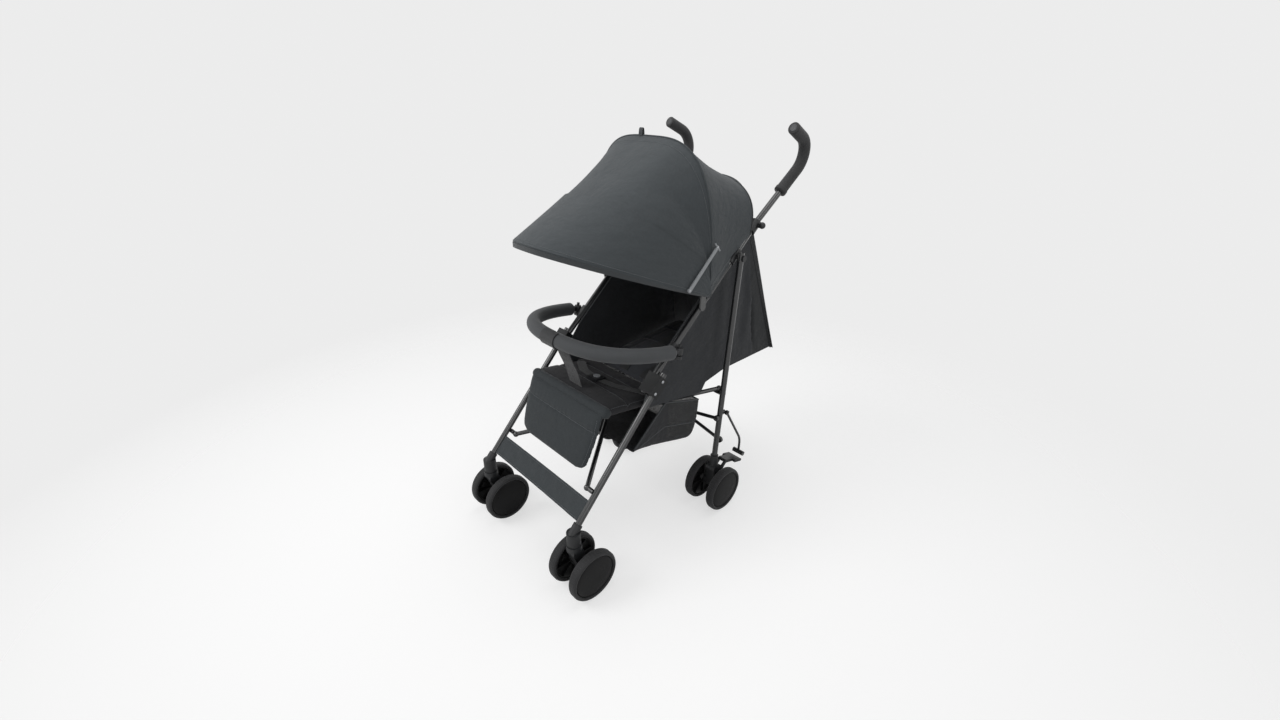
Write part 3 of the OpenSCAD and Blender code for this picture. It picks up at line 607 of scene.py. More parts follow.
print("a tree ends in Realize Instances and Set Material")

# %% [markdown]
# A running stitch is a short thread at even steps along a line, turned to lie along it. It has only six sides,
# because there are hundreds of them. A rivet's head is a flattened ball on a point, turned to face outward, and the
# way it faces is stored on the point itself.

# %% The stitch and rivet trees
def stitch_tree():
    sizes = {"Pitch": "Float", "Length": "Float", "Radius": "Float"}
    tree, given, result = new_tree("running_stitch", **sizes, Thread="Material")
    line = add_node(tree, "GeometryNodeMeshToCurve", {}, {0: given["Geometry"]})[0]
    by_length = {"Curve": line, "Length": given["Pitch"]}
    steps = add_node(tree, "GeometryNodeResampleCurve", {"mode": "LENGTH"}, by_length)[0]
    along = add_node(tree, "GeometryNodeInputTangent", {}, {})[0]
    turned = add_node(tree, "FunctionNodeAlignRotationToVector", {"axis": "Z"}, {"Vector": along})[0]
    shape = {"Vertices": 6, "Radius": given["Radius"], "Depth": given["Length"]}
    stitch = add_node(tree, "GeometryNodeMeshCylinder", {}, shape)[0]
    laid = {"Points": steps, "Instance": stitch, "Rotation": turned}
    row = add_node(tree, "GeometryNodeInstanceOnPoints", {}, laid)[0]
    return finish_tree(tree, row, given["Thread"], result)


def rivet_tree():
    tree, given, result = new_tree("domed_rivet", Radius="Float", Flatten="Vector", Metal="Material")
    shape = {"Segments": 16, "Rings": 8, "Radius": given["Radius"]}
    ball = add_node(tree, "GeometryNodeMeshUVSphere", {}, shape)[0]
    facing = add_node(tree, "GeometryNodeInputNamedAttribute", {"data_type": "FLOAT_VECTOR"}, {"Name": "facing"})[0]
    turned = add_node(tree, "FunctionNodeAlignRotationToVector", {"axis": "Z"}, {"Vector": facing})[0]
    laid = {"Points": given["Geometry"], "Instance": ball, "Rotation": turned, "Scale": given["Flatten"]}
    heads = add_node(tree, "GeometryNodeInstanceOnPoints", {}, laid)[0]
    solid = add_node(tree, "GeometryNodeRealizeInstances", {}, {0: heads})[0]
    smooth = add_node(tree, "GeometryNodeSetShadeSmooth", {}, {0: solid})[0]
    return finish_tree(tree, smooth, given["Metal"], result)


STITCH = stitch_tree()
RIVET = rivet_tree()
print(len(STITCH.nodes), "nodes in the stitch tree,", len(RIVET.nodes), "in the rivet tree")

# %% [markdown]
# To use a tree, a mesh of bare points or lines gets it as a modifier, the inputs are set by the sockets' identifiers
# before it first runs, and the evaluated result takes the place of the mesh. A row of stitches is then a piece like
# any other, which rides on the same body as the cloth that it holds.

# %% Rows of stitches and rivets
def grow(name, tree, mesh, values, material):
    """Runs a tree on a mesh of points or lines and keeps the result as a plain mesh."""
    piece = bpy.data.objects.new(name, mesh)
    bpy.context.scene.collection.objects.link(piece)
    modifier = piece.modifiers.new("tree", "NODES")
    modifier.node_group = tree
    for item in tree.interface.items_tree:
        if item.in_out == "INPUT" and item.name in values:
            modifier[item.identifier] = values[item.name]
    baked(piece)
    if not piece.data.materials:
        piece.data.materials.append(material)
    return piece


def stitches(name, lines, body, keep=None, pitch=0.0055, length=0.0036, radius=0.0005, thread=THREAD):
    """Running stitches along lines of points, riding on the same body as their cloth."""
    points, edges = [], []
    for line in lines:
        edges += [(len(points) + i, len(points) + i + 1) for i in range(len(line) - 1)]
        points += line
    mesh = bpy.data.meshes.new(name)
    mesh.from_pydata(points, edges, [])
    sizes = {"Pitch": pitch, "Length": length, "Radius": radius, "Thread": thread}
    return carried(grow(name, STITCH, mesh, sizes, thread), body, keep)


def rivets(name, heads, body, radius, height, metal):
    """Domed heads: heads is a list of (spot, facing)."""
    mesh = bpy.data.meshes.new(name)
    mesh.from_pydata([spot for spot, facing in heads], [], [])
    layer = mesh.attributes.new("facing", "FLOAT_VECTOR", "POINT")
    layer.data.foreach_set("vector", [n for spot, facing in heads for n in facing])
    sizes = {"Radius": radius, "Flatten": (1, 1, height / radius), "Metal": metal}
    return carried(grow(name, RIVET, mesh, sizes, metal), body)


print("rows of stitches and rivets")

# %% [markdown]
# The layout of the frame in a few lines: each front leg rises at 47.7 degrees from its foot above the caster,
# the push tube goes on at 41.8 degrees from the bracket at its knee, and the canopy turns on a stud part of the
# way up it. Every cloth hangs between these points, so they are worked out once from lengths and angles.

# %% Points of the frame
def along(start, angle, length):
    """A point on the way up a tube, in y and z."""
    return start[0] + length * math.cos(math.radians(angle)), start[1] + length * math.sin(math.radians(angle))


LEG_ANGLE, PUSH_ANGLE, WHEELBASE = 47.7, 41.8, 481
leg_foot = (-30, 175)
knee = along(leg_foot, LEG_ANGLE, 400)
knee = (knee[0], knee[1] + 10)
block = along(knee, PUSH_ANGLE, 493)
stud = (block[0] - 199, block[1] - 138)
wing_x = 156.7
for label, spot in (("knee", knee), ("block", block), ("canopy stud", stud)):
    print(label, [round(n, 1) for n in spot])

# %% [markdown]
# The canopy hangs over three hoops that are bowed like flattened circles. A superellipse gives that bow: a
# higher power makes squarer shoulders. Between two hoops the cloth is a straight run that sags a little, which
# is what stretched cloth does between two stiff edges. The front peak tips up with its hoop, so it is a cloth
# of its own, and the fixed hood goes on from under it, over the main hoop, to the back.

# %% Three hoops
def hoop(end, apex, power, angle):
    c, s = math.cos(angle), math.sin(angle)
    u, v = math.copysign(abs(c) ** (2 / power), c), abs(s) ** (2 / power)
    return Vector((end[0] * u, end[1] + (apex[1] - end[1]) * v, end[2] + (apex[2] - end[2]) * v))


front_hoop = ((205, stud[0], stud[1] - 4), (0, stud[0] - 384, stud[1] + 146), 2.2)
main_hoop = ((205, stud[0], stud[1] + 18), (0, stud[0] - 20, stud[1] + 349), 3.3)
back_hoop = ((186, block[0] - 31, block[1] - 20), (0, block[0] - 16, block[1] + 115), 2.8)
heart = Vector((0, stud[0] + 22, stud[1] + 28))
HOOD_UNDER, PEAK_SAG, HOOD_SAG = 2.8, 10, 6


def peak_share(a):
    """How much of the run to the main hoop tips up: a little more beside the pivots, where the hoop needs room."""
    return 0.44 + 0.25 * (1 - math.sin(a)) ** 3


def out_from_heart(p):
    return (p - heart).normalized()


def visor_at(t, a):
    p = hoop(*front_hoop, a).lerp(hoop(*main_hoop, a), t)
    return p - out_from_heart(p) * (PEAK_SAG * math.sin(math.pi * t) * math.sin(a))


def rear_at(t, a):
    over = hoop(*main_hoop, a)
    p = (over - out_from_heart(over) * HOOD_UNDER).lerp(hoop(*back_hoop, a), t)
    return p - out_from_heart(p) * (HOOD_SAG * math.sin(math.pi * t))


def even_angles(curve, count):
    """Angles that step evenly along a hoop, because equal angles bunch up at its shoulders."""
    steps = 3000
    fine = [curve(math.pi * i / steps) for i in range(steps + 1)]
    runs = [0.0]
    for p, q in zip(fine, fine[1:]):
        runs.append(runs[-1] + (q - p).length)
    angles, i = [], 0
    for k in range(count + 1):
        while i < steps and runs[i] < runs[-1] * k / count:
            i += 1
        angles.append(math.pi * i / steps)
    return angles


hood_angles = even_angles(lambda a: hoop(*main_hoop, a), 110)


print(len(hood_angles), "stations round the main hoop")

# %% [markdown]
# Stretched cloth still falls in a little here and there, and it rucks up beside the pivots, where it is gathered.
# A noise that is read at the place itself gives that, the same in every run. The peak lies over the hood's front
# edge, and when it tips back its shoulders sweep over the hood, so the hood is cut a little lower there.

# %% Peak and hood
def crease(p, scale, depth):
    """A soft push inward, seeded by place alone, so that it is the same in every run."""
    return depth * (noise.noise(p / scale) * 0.5 + 0.5)


def hood_row(spot, t, slack=1.0, gather=1.0):
    """One row of the cloth: slack is how far it falls in, gather how much it rucks up beside the pivots."""
    row = []
    for a in hood_angles:
        p = spot(t, a)
        near_end = gather * math.exp(-min(a, math.pi - a) * 5)
        inward = slack * crease(p, 70, 1.6) + crease(p, 26, 2.2) * near_end
        row.append(place(*(p - out_from_heart(p) * inward)))
    return row


def peak_at(t, a):
    return visor_at(peak_share(a) * t, a)


def hem_drop(k, a):
    """How far the k-th row of the front hem hangs below the peak's edge."""
    return Vector((-0.0004 * k * math.cos(a), 0.0002 * k, -0.0034 * k * math.sin(a) ** 0.4))


def sweep_room(t, a):
    """How much lower the hood lies at its squarer shoulders, so that the peak can tip back over it."""
    shoulder = max(0, 1 - ((math.degrees(min(a, math.pi - a)) - 34) / 36) ** 2)
    return 9.5 * shoulder * min(((1 + t) / 0.52) ** 2, (-t / 0.48) ** 0.8)


def hood_at(t, a):
    if t >= 0:
        return rear_at(t, a)
    p = visor_at(1 + t * (1 - peak_share(a) + 0.04), a)
    return p - out_from_heart(p) * (HOOD_UNDER + sweep_room(t, a))


CANOPY_KEEP = 0.405
HEM_STEPS, PEAK_STEPS, HOOD_STEPS = 4, 26, 24
peak_rows = [hood_row(peak_at, i / PEAK_STEPS, max(0, 1 - i / 16), 0) for i in range(PEAK_STEPS + 1)]
hem_rows = [[p + hem_drop(k, a) for a, p in zip(hood_angles, peak_rows[0])] for k in range(HEM_STEPS, 0, -1)]
peak = cloth_sheet("canopy_peak", hem_rows + peak_rows, CANOPY, CLOTH_THICK, 1.0)
carried(peak, "canopy", CANOPY_KEEP, "canopy_visor")
hood_rows = [hood_row(hood_at, i / HOOD_STEPS) for i in range(-HOOD_STEPS, HOOD_STEPS + 1)]
hood = cloth_sheet("canopy_hood", hood_rows, CANOPY, CLOTH_THICK, 1.0)
carried(hood, "seat", CANOPY_KEEP, "canopy_rear")
for piece, carrier in ((peak, "front_hoop"), (hood, "main_hoop")):
    cut = flat_area(piece)
    print(piece.name, round(cut, 3), "square metres of cloth")

# %% [markdown]
# Two thin plastic bows hold the cloth out: one under the front edge, which tips up with the peak, and one under
# the seam. Each ends in a flat eye on the stud. Real bows give way as the stroller folds narrow; these ride with
# their cloth and take the place of the CAD rods.

# %% Bows and their eyes
EYE = [(3.2, 3), (7.4, 3), (8, 2.4), (8, -2.4), (7.4, -3), (3.2, -3), (3.2, 3)]


def bow_rod(name, shape, depth, eye_inset, body, node):
    """A rod under a hoop's cloth; where its eyes are set in, its ends run on to the stud."""
    end, top = shape[:2]
    line = [hoop(*shape, a) for a in even_angles(lambda a: hoop(*shape, a), 90)]
    path = [p - out_from_heart(p) * depth for p in line]
    eye_x = path[0].x - eye_inset
    if eye_inset:
        path = [Vector((eye_x, stud[0], stud[1] + 6)), *path, Vector((-eye_x, stud[0], stud[1] + 6))]
    flat = (Vector(top) - Vector((0, end[1], end[2]))).cross(ACROSS).normalized()
    rod = tube(name, [place(*p) for p in path], 0.003, HOOP, flat, 14)
    carried(rod, body, CANOPY_KEEP, node)
    for key, sign in SIDES.items():
        eye = spun(name + "_eye_" + key, EYE, place(sign * eye_x, *stud), 1, HOOP, 40)
        carried(eye, body, CANOPY_KEEP)
    print(name, len(path), "stations, eyes at x =", round(eye_x, 1))


bow_rod("front_bow", front_hoop, 7.4, 0, "canopy", "front_hoop")
bow_rod("main_bow", main_hoop, 9.4, 6.4, "seat", "main_hoop")

# %% [markdown]
# Between the stud and the rear leg's hinge the side of the hood goes on as a short skirt, down to the push tube,
# so that no light falls in over the tube. It starts from the hood's own edge points, which keeps the two joined.

# %% Skirts under the hood
def tube_top(y):
    return knee[1] + (y - knee[0]) * math.tan(math.radians(PUSH_ANGLE))


SKIRT_X, SKIRT_RISE, SKIRT_ROWS = 180.4, 6.4, range(26, 39)
for key, sign in SIDES.items():
    rows = []
    for i in SKIRT_ROWS:
        top = hood_rows[i][0 if sign > 0 else -1]
        y = (top.y - axle_y) * 1000
        low = place(sign * SKIRT_X, y, tube_top(y) + SKIRT_RISE)
        rows.append([top.lerp(low, k / 8) - ACROSS * (sign * 0.002 * math.sin(math.pi * k / 8)) for k in range(9)])
    skirt = cloth_sheet("hood_skirt_" + key, rows, CANOPY, LIGHT_THICK, 0.0)
    carried(skirt, "seat", CANOPY_KEEP)
    cut = flat_area(skirt)
    print(skirt.name, round(cut, 4), "square metres")

# %% [markdown]
# A canopy is sewn, and the sewing is what the eye finds first: a bound hem under the front edge, a raised seam
# where the cloth turns over the main hoop, rows of stitches beside both, and a short pull tab at the top. The
# seam is a thin tube laid along the hoop; the stitches follow rows of the cloth itself, a hair above it.

# %% Sewing on the canopy
def raised(rows, i, lift=0.0004):
    """A row of the cloth, lifted off its surface."""
    out = []
    for p in rows[i]:
        mm = Vector((p.x * 1000, (p.y - axle_y) * 1000, p.z * 1000))
        out.append(p + out_from_heart(mm) * lift)
    return out


OVER_HOOP, REAR_EDGE = HOOD_STEPS, 2 * HOOD_STEPS
seam_radii = [0.0006 + 0.0013 * min(1, max(0, math.sin(a) - 0.17) / 0.1) for a in hood_angles]
seam = tube("canopy_seam", raised(hood_rows, OVER_HOOP, 0.0002), seam_radii, CANOPY, BACK, 10)
carried(seam, "seat", CANOPY_KEEP)
rear_binding = tube("hood_binding", raised(hood_rows, REAR_EDGE, 0.0002), 0.0019, STRAP, BACK, 10)
carried(rear_binding, "seat", CANOPY_KEEP)
sewn_rows = (OVER_HOOP - 2, OVER_HOOP + 2, REAR_EDGE - 1)
stitches("hood_stitches", [raised(hood_rows, i)[14:-14] for i in sewn_rows], "seat", CANOPY_KEEP)
stitches("peak_stitches", [raised(peak_rows, 1)], "canopy", CANOPY_KEEP)

binding_rows = [[p + Vector((0, -0.0012, z)) for p in hem_rows[0]] for z in (0.0095, 0.006, 0.003, 0, -0.0013)]
binding = cloth_sheet("peak_binding", binding_rows, TRIM, CLOTH_THICK, 0.0)
carried(binding, "canopy", CANOPY_KEEP)
tab_base = hood_rows[OVER_HOOP][58]
tab_rows = []
for i in range(9):
    turn = math.pi * i / 8
    y, z = 0.003 * math.cos(turn), 0.017 * math.sin(turn) - 0.001
    tab_rows.append([tab_base + Vector((x, y, z)) for x in (-0.006, -0.003, 0, 0.003, 0.006)])
tab = cloth_sheet("canopy_tab", tab_rows, TRIM, 0.0012)
carried(tab, "seat", CANOPY_KEEP)
print("hem, seam, stitches and tab")

# %% [markdown]
# The seat is three pads: one to sit on, a long backrest that is let down here, and a calf rest that hangs from
# the front edge. Each is two layers of cloth round a thin foam, so it swells a little between its seams. The
# closed form comes from a short formula, a remesh gives it even faces, and Blender's Cloth with a little inside
# pressure and no gravity fills it out. The cap keeps the cloth from pushing into its neighbours.

# %% Filling a pad with the cloth solver
def pad_mesh(name, spec, inset):
    """The unfilled pad: a rounded slab, crowned in the middle, with rows crowded toward its two ends."""
    origin, ahead, lift = spec["origin"], spec["ahead"], spec["lift"]
    length, thick, start, rounding = (spec[key] for key in ("length", "thick", "start", "round"))
    rows = []
    for i in range(49):
        v = 0.5 - 0.5 * math.cos(math.pi * i / 48)
        row = []
        for j in range(96):
            turn = math.tau * j / 96
            u = math.copysign(abs(math.cos(turn)) ** 0.4, math.cos(turn))
            edge = (1 - abs(u) ** 6) ** (1 / 6) * (1 - abs(2 * v - 1) ** 9) ** 0.25
            dome = (1 - abs(u) ** 4) * (1 - abs(2 * v - 1) ** 4)
            corner = 0
            if rounding:
                corner = rounding * max(0, (v * length - length + rounding) / rounding) ** 2.5
            wide = spec["half"] - inset - spec["taper"] * v**3 - corner
            high = -0.28 * thick * edge
            if math.sin(turn) >= 0:
                high = 0.66 * thick * edge - 0.4 * spec["crown"] * (1 - dome)
            far = start + (length - inset - start) * v
            row.append(place(*(origin + ahead * far + lift * high + Vector((wide * u, 0, 0)))))
        rows.append(row)
    return closed(grid_mesh(name, rows, wrap=True), capped=True, most_corners=4)


def fill(piece, voxel, cap, limit):
    """Even faces, then the cloth solver with pressure; no point moves further than the cap."""
    even = piece.modifiers.new("even", "REMESH")
    even.mode, even.voxel_size = "VOXEL", voxel
    baked(piece)
    start = [v.co.copy() for v in piece.data.vertices]
    cloth = piece.modifiers.new("fill", "CLOTH").settings
    cloth.quality, cloth.mass = 5, 0.2
    cloth.tension_stiffness = cloth.compression_stiffness = cloth.shear_stiffness = 12
    cloth.use_pressure, cloth.uniform_pressure_force = True, 4.0
    cloth.effector_weights.gravity = 0
    scene = bpy.context.scene
    for step in range(1, 21):
        scene.frame_set(step)
    baked(piece)
    scene.frame_set(1)
    for v, old in zip(piece.data.vertices, start):
        move = v.co - old
        if move.length > cap:
            v.co = old + move * (cap / move.length)
    for v in piece.data.vertices:
        v.co.x = max(-limit, min(limit, v.co.x))
    finer = piece.modifiers.new("finer", "SUBSURF")
    finer.levels = finer.render_levels = 1
    return baked(piece)


print("a pad swells by at most its cap")

# %% [markdown]
# Sewn channels come after the filling, because a remesh would wipe them out. Along each channel the top face
# is drawn down in a soft valley, and the cloth beside it puckers, more so the nearer it is to the thread. The
# stitches are then dropped onto the finished face with a ray, so they lie in the valley and not above it.

# %% Channels and puckers
def quilt(piece, spec, depth):
    origin, ahead, lift = place(*spec["origin"]), spec["ahead"], spec["lift"]
    for v in piece.data.vertices:
        rel = (v.co - origin) * 1000
        far, high = rel.dot(ahead), rel.dot(lift)
        if high < 0:
            continue
        for share in spec["channels"]:
            d = far - share * spec["length"]
            v.co -= lift * (0.001 * depth * math.exp(-((d / 5.5) ** 2)))
            pucker = noise.noise(Vector((rel.x / 9, share * 40, far / 30)))
            v.co += lift * (0.0009 * math.exp(-abs(d) / 16) * pucker)
        if spec["lanes"] and abs(rel.x) < spec["half"] - 8:
            for lane in spec["lanes"]:
                v.co -= lift * (0.0011 * math.exp(-(((abs(rel.x) - lane) / 5) ** 2)))


def laid_on(piece, spots, down, lift=0.0004):
    """Spots dropped onto a piece along a direction, and raised by a hair."""
    tree = BVHTree.FromPolygons([v.co for v in piece.data.vertices], [p.vertices for p in piece.data.polygons])
    out = []
    for spot in spots:
        hit = tree.ray_cast(spot - down * 0.1, down)[0]
        if hit:
            out.append(hit - down * lift)
    return out


def on_pad(spec, x, far):
    """A point of the pad's middle plane, across and along it in millimetres."""
    return place(*(spec["origin"] + spec["ahead"] * far + Vector((x, 0, 0))))


print("channels are sewn after the filling")

# %% [markdown]
# One description for each pad holds its place, its slope and its sizes, and one function makes the pad from it. The
# pads differ in numbers more than in kind: the seat is thick and short, the back is long with lengthwise lanes, and
# the calf rest is thin, narrower at its foot and round at its corners. All three stay between the side wings.

# %% Three pads
def pad(name, node, body, spec, material, keep, voxel=0.005, cap=0.005):
    piece = as_piece(name, pad_mesh(name, spec, 2.5), material)
    fill(piece, voxel, cap, spec["reach"] / 1000)
    quilt(piece, spec, spec["depth"])
    dressed(piece.data, material)
    lines = []
    for share in spec["channels"]:
        wide = spec["half"] - 12 - spec["taper"] * share**3
        row = [on_pad(spec, wide * k / 40, share * spec["length"]) for k in range(-40, 41)]
        lines.append(laid_on(piece, row, -spec["lift"]))
    for side in (-1, 1):
        edge = []
        for i in range(4, 37):
            v = i / 40
            wide = (spec["half"] - 13 - spec["taper"] * v**3) * side
            edge.append(on_pad(spec, wide, v * spec["length"]))
        lines.append(laid_on(piece, edge, -spec["lift"]))
    carried(piece, body, keep, node=node)
    stitches(name + "_stitches", lines, body, keep)
    print(name, len(piece.data.polygons), "faces")
    return piece


def pad_spec(origin, angle, flip, **sizes):
    turn = math.radians(angle)
    ahead = Vector((0, math.cos(turn), math.sin(turn)))
    return dict(origin=Vector(origin), ahead=ahead, lift=Vector((0, -ahead.z, ahead.y)) * flip, **sizes)


SOFT_KEEP = 0.235
seat_front, seat_tilt, seat_len = (116, 424), 9, 214
seat_rear = along(seat_front, -seat_tilt, seat_len)
seat_spec = pad_spec(
    (0, *seat_front), -seat_tilt, 1, length=seat_len, thick=28, crown=8, half=156.4, reach=156.6, start=1, round=0,
    taper=0, channels=[0.35, 0.68], lanes=[], depth=4.5,
)
back_spec = pad_spec(
    (0, 330.2, 390.5), 5, 1, length=372, thick=24, crown=7, half=154.7, reach=156.2, start=3, round=0,
    taper=0, channels=[0.25, 0.5, 0.75], lanes=[52, 104], depth=3.5,
)
calf_spec = pad_spec(
    (0, 112.6, 424), -110, -1, length=158, thick=14, crown=5, half=150, reach=150, start=-7, round=22,
    taper=18, channels=[0.3], lanes=[], depth=3.2,
)
# The seat pad's cloth is painted nearly black behind its front edge, as painted shade.
seat_pad = pad("seat_cushion", "seat_pad", "seat", seat_spec, SEAT, SOFT_KEEP)
# The backrest's cloth is painted paler, as painted light.
back_pad = pad("back_cushion", "backrest", "backrest", back_spec, BACKREST_PAINTED_LIGHT, SOFT_KEEP, 0.006)
pad("calf_flap", "calf_rest", "seat", calf_spec, CALF, SOFT_KEEP, 0.0045, 0.003)

# %% [markdown]
# Where the seat turns down into the calf flap the cloth runs over a soft roll, so the two pads meet without a
# gap. It is a short sausage laid across the front edge, tucked into both pads.

# %% The front roll
ROLL_RADIUS = 0.0138
roll_path = even_path([place(x, 123, 426) for x in (-151, 151)], 0.004)
roll_radii = []
for i in range(len(roll_path)):
    from_end = min(i, len(roll_path) - 1 - i)
    roll_radii.append(ROLL_RADIUS * min(1, 0.45 + 0.55 * (1 - max(0, 1 - from_end / 4) ** 2) ** 0.5))
roll = tube("front_roll", roll_path, roll_radii, CALF, UP, 28)
for v in roll.data.vertices:
    v.co.z += 0.0007 * noise.noise(v.co * 60)
carried(roll, "seat", SOFT_KEEP)
print("front roll", round((roll_path[-1] - roll_path[0]).length, 3), "m wide")

# %% [markdown]
# The side wings are flat cloth between the push tube, the seat and the rear curtain. A flat shape with many
# corners is easiest as one face, cut into small squares by two sets of parallel planes, so that it can then
# be pushed into folds. How far a point is from the nearest edge then says how loose the cloth is there.

# %% A flat sheet in small squares
def cut_sheet(name, outline, spacing):
    """A flat face in y and z, at x = 0, cut into small squares."""
    shell = bmesh.new()
    shell.faces.new([shell.verts.new((0, y, z)) for y, z in outline])
    for axis in (1, 2):
        normal = Vector((0, axis == 1, axis == 2))
        low, high = min(p[axis - 1] for p in outline), max(p[axis - 1] for p in outline)
        for i in range(1, int((high - low) / spacing) + 1):
            everything = shell.verts[:] + shell.edges[:] + shell.faces[:]
            bmesh.ops.bisect_plane(shell, geom=everything, plane_co=normal * (low + spacing * i), plane_no=normal)
    mesh = bpy.data.meshes.new(name)
    shell.to_mesh(mesh)
    shell.free()
    return mesh


def edge_gap(spot, outline):
    """How far a point is from the nearest edge of the outline."""
    best = 1e9
    for a, b in zip(outline, outline[1:] + outline[:1]):
        a, b = Vector(a), Vector(b)
        t = max(0, min(1, (spot - a).dot(b - a) / (b - a).length_squared))
        best = min(best, (spot - a.lerp(b, t)).length)
    return best


print("a shape with many corners can be cut into squares")

# %% [markdown]
# The outline of a wing follows the frame: along the seat, down behind it into a loose lobe, back to the curtain's
# foot, up to the block below the handle, and down the push tube again. It hangs from the tube, so it bellies inward
# between its edges and falls into upright folds toward the back, where nothing holds it tight. A pleat runs down
# from the tube, and a small ear lies close to the block. Each wing rides on its own side of the frame.

# %% Side wings
curtain_low = (wing_x + 11, block[0] + 176, block[1] - 405)
tube_start = along(knee, PUSH_ANGLE, 60)
wing_outline = [
    (seat_front[0] + 112, along(seat_front, -seat_tilt, 112 / math.cos(math.radians(seat_tilt)))[1] - 3),
    (seat_rear[0], seat_rear[1] - 4), (knee[0] + 161, knee[1] - 107), (knee[0] + 213, knee[1] - 115),
    (knee[0] + 231, knee[1] - 89), (block[0] - 56, curtain_low[2] + 2), (curtain_low[1] - 1.5, curtain_low[2] + 2),
    (block[0] + 1, block[1] - 34), (block[0] - 1, block[1] + 6), (block[0] - 14, block[1] + 8),
    (block[0] - 36, block[1] - 24), tube_start, (knee[0] + 14, knee[1]),
]
SEAT_END, WING_FOOT, WING_HEAD, EAR_TOP, TUBE_END, TUBE_START, KNEE_END = 0, 6, 7, 8, 10, 11, 12


def ramp(value, start, length):
    return min(1, max(0, (value - start) / length))


def wing_reach(y, z, sign):
    """How far out the wing's cloth stands: a belly over the pad, upright folds behind it, the pleat and the ear."""
    loose = min(1, edge_gap(Vector((y, z)), wing_outline) / 45) ** 1.5
    over_pad, rear = ramp(z, 432, 50), ramp(y, 470, 120)
    folds = 2.6 + 2.4 * math.sin(y / 9.5 + 1.4 * noise.noise(Vector((y / 60, z / 90, sign))))
    belly = 4.5 * (1 - rear) * over_pad + rear * over_pad * folds
    behind = y - PLEAT_TOP[0] + (z - PLEAT_TOP[1]) * PLEAT_LEAN
    flap = 3.5 * math.exp(behind / 22) if behind < 0 else -2.5 * math.exp(-behind / 9)
    rough = 1.2 * noise.noise(Vector((y, z, 9 * sign)) / 40)
    return wing_x + 2.6 - 1.4 * ramp(z, block[1] - 36, 12) - loose * (belly * (behind < 8) - flap + rough)


for key, sign in SIDES.items():
    mesh = cut_sheet("side_wing", wing_outline, 6)
    for v in mesh.vertices:
        y, z = v.co.y, v.co.z
        v.co = place(sign * wing_reach(y, z, sign), y, z)
    layer = mesh.uv_layers.new(name="cloth")
    for loop in mesh.loops:
        spot = mesh.vertices[loop.vertex_index].co
        layer.data[loop.index].uv = (spot.y, spot.z)
    # Behind its pleat the wing's cloth is painted darker, as painted shade.
    wing = thickened(as_piece("wing_cloth_" + key, mesh, WING), CLOTH_THICK, 0.0)
    carried(wing, "frame_" + key, node="side_wing_" + key)
    cut = flat_area(wing)
    rim = [place(sign * (wing_x + 2.2), *wing_outline[i]) for i in (SEAT_END, KNEE_END, TUBE_START, TUBE_END)]
    path = [a.lerp(b, k / 24) for a, b in zip(rim, rim[1:]) for k in range(24)] + [rim[-1]]
    trim = tube("wing_binding_" + key, path, 0.0017, TRIM, ACROSS, 10)
    carried(trim, "frame_" + key)
    sewn = (wing_outline[TUBE_START], wing_outline[TUBE_END])
    inner = [place(sign * (wing_x + 4.0), y + 7, z - 7) for y, z in sewn]
    stitches("wing_stitches_" + key, [[inner[0].lerp(inner[1], k / 60) for k in range(61)]], "frame_" + key)
    print(wing.name, round(cut, 3), "square metres")

# %% [markdown]
# Behind the seat a curtain closes the space under the hood. It is sewn to the back hoop and hangs to a straight
# lower edge, so it is a loft between a bow and a line. Cloth that hangs from a bow has too much width at the
# bottom and gathers there: the folds fade in from top to bottom.

# %% The rear curtain
curtain_hoop = ((wing_x - 3, block[0] + 4, block[1] - 30), back_hoop[1], 4)
curtain_angles = even_angles(lambda a: hoop(*curtain_hoop, a), 120)
CURTAIN_STEPS, CURTAIN_CUT, CURTAIN_FILLS = 40, 0.44, 0.85


def curtain_at(t, a):
    top = hoop(*curtain_hoop, a) + Vector((0, 0.4, 0))
    spread = math.copysign(abs(math.cos(a)) ** 0.8, math.cos(a))
    low = Vector((curtain_low[0] * spread, curtain_low[1], curtain_low[2]))
    p = top.lerp(low, t) + Vector((0, 10 * math.sin(math.pi * t) * math.sin(a), 0))
    folds = 0.5 + 0.5 * math.sin(p.x / 8.5 + 2.2 * noise.noise(Vector((p.x / 70, 3, p.z / 160))))
    return p + Vector((p.x / wing_x, 1, 0)).normalized() * (1.2 + 3.4 * folds * t**0.7 * math.sin(a) ** 0.5)


curtain_rows = []
for i in range(CURTAIN_STEPS + 1):
    curtain_rows.append([place(*curtain_at(i / CURTAIN_STEPS, a)) for a in curtain_angles])
# The curtain's cloth is painted darker, as painted shade.
curtain = cloth_sheet("curtain_cloth", curtain_rows, CURTAIN, CLOTH_THICK, 0.0)
carried(curtain, "seat", SOFT_KEEP, node="rear_curtain")
cut = flat_area(curtain)
sewn_rows = [[p + Vector((0, 0.0013, 0)) for p in curtain_rows[i]] for i in (2, CURTAIN_STEPS - 2)]
stitches("curtain_stitches", sewn_rows, "seat", SOFT_KEEP)
print("curtain", round(cut, 3), "square metres")

# %% [markdown]
# Two seams close the corners. A corded piping runs down where the curtain meets each wing. Above the push tubes
# the hood is wider than the curtain, and a narrow gusset fills the crescent between their edges; both edges are
# bows, so the gusset is a loft between points that lie at the same bearing, seen from behind.

# %% Piping and gussets
def bearing(p):
    return math.atan2(p.z - block[1] + 40, p.x)


def at_bearing(curve, turn):
    """The point of a bow at a bearing, found by halving."""
    low, high = 0.0, math.pi / 2
    for step in range(40):
        middle = (low + high) / 2
        if bearing(curve(middle)) < turn:
            low = middle
        else:
            high = middle
    return curve(low)


def between(first, second, z):
    """The y at a height, on the line through two points in y and z."""
    return first[0] + (second[0] - first[0]) * (z - first[1]) / (second[1] - first[1])


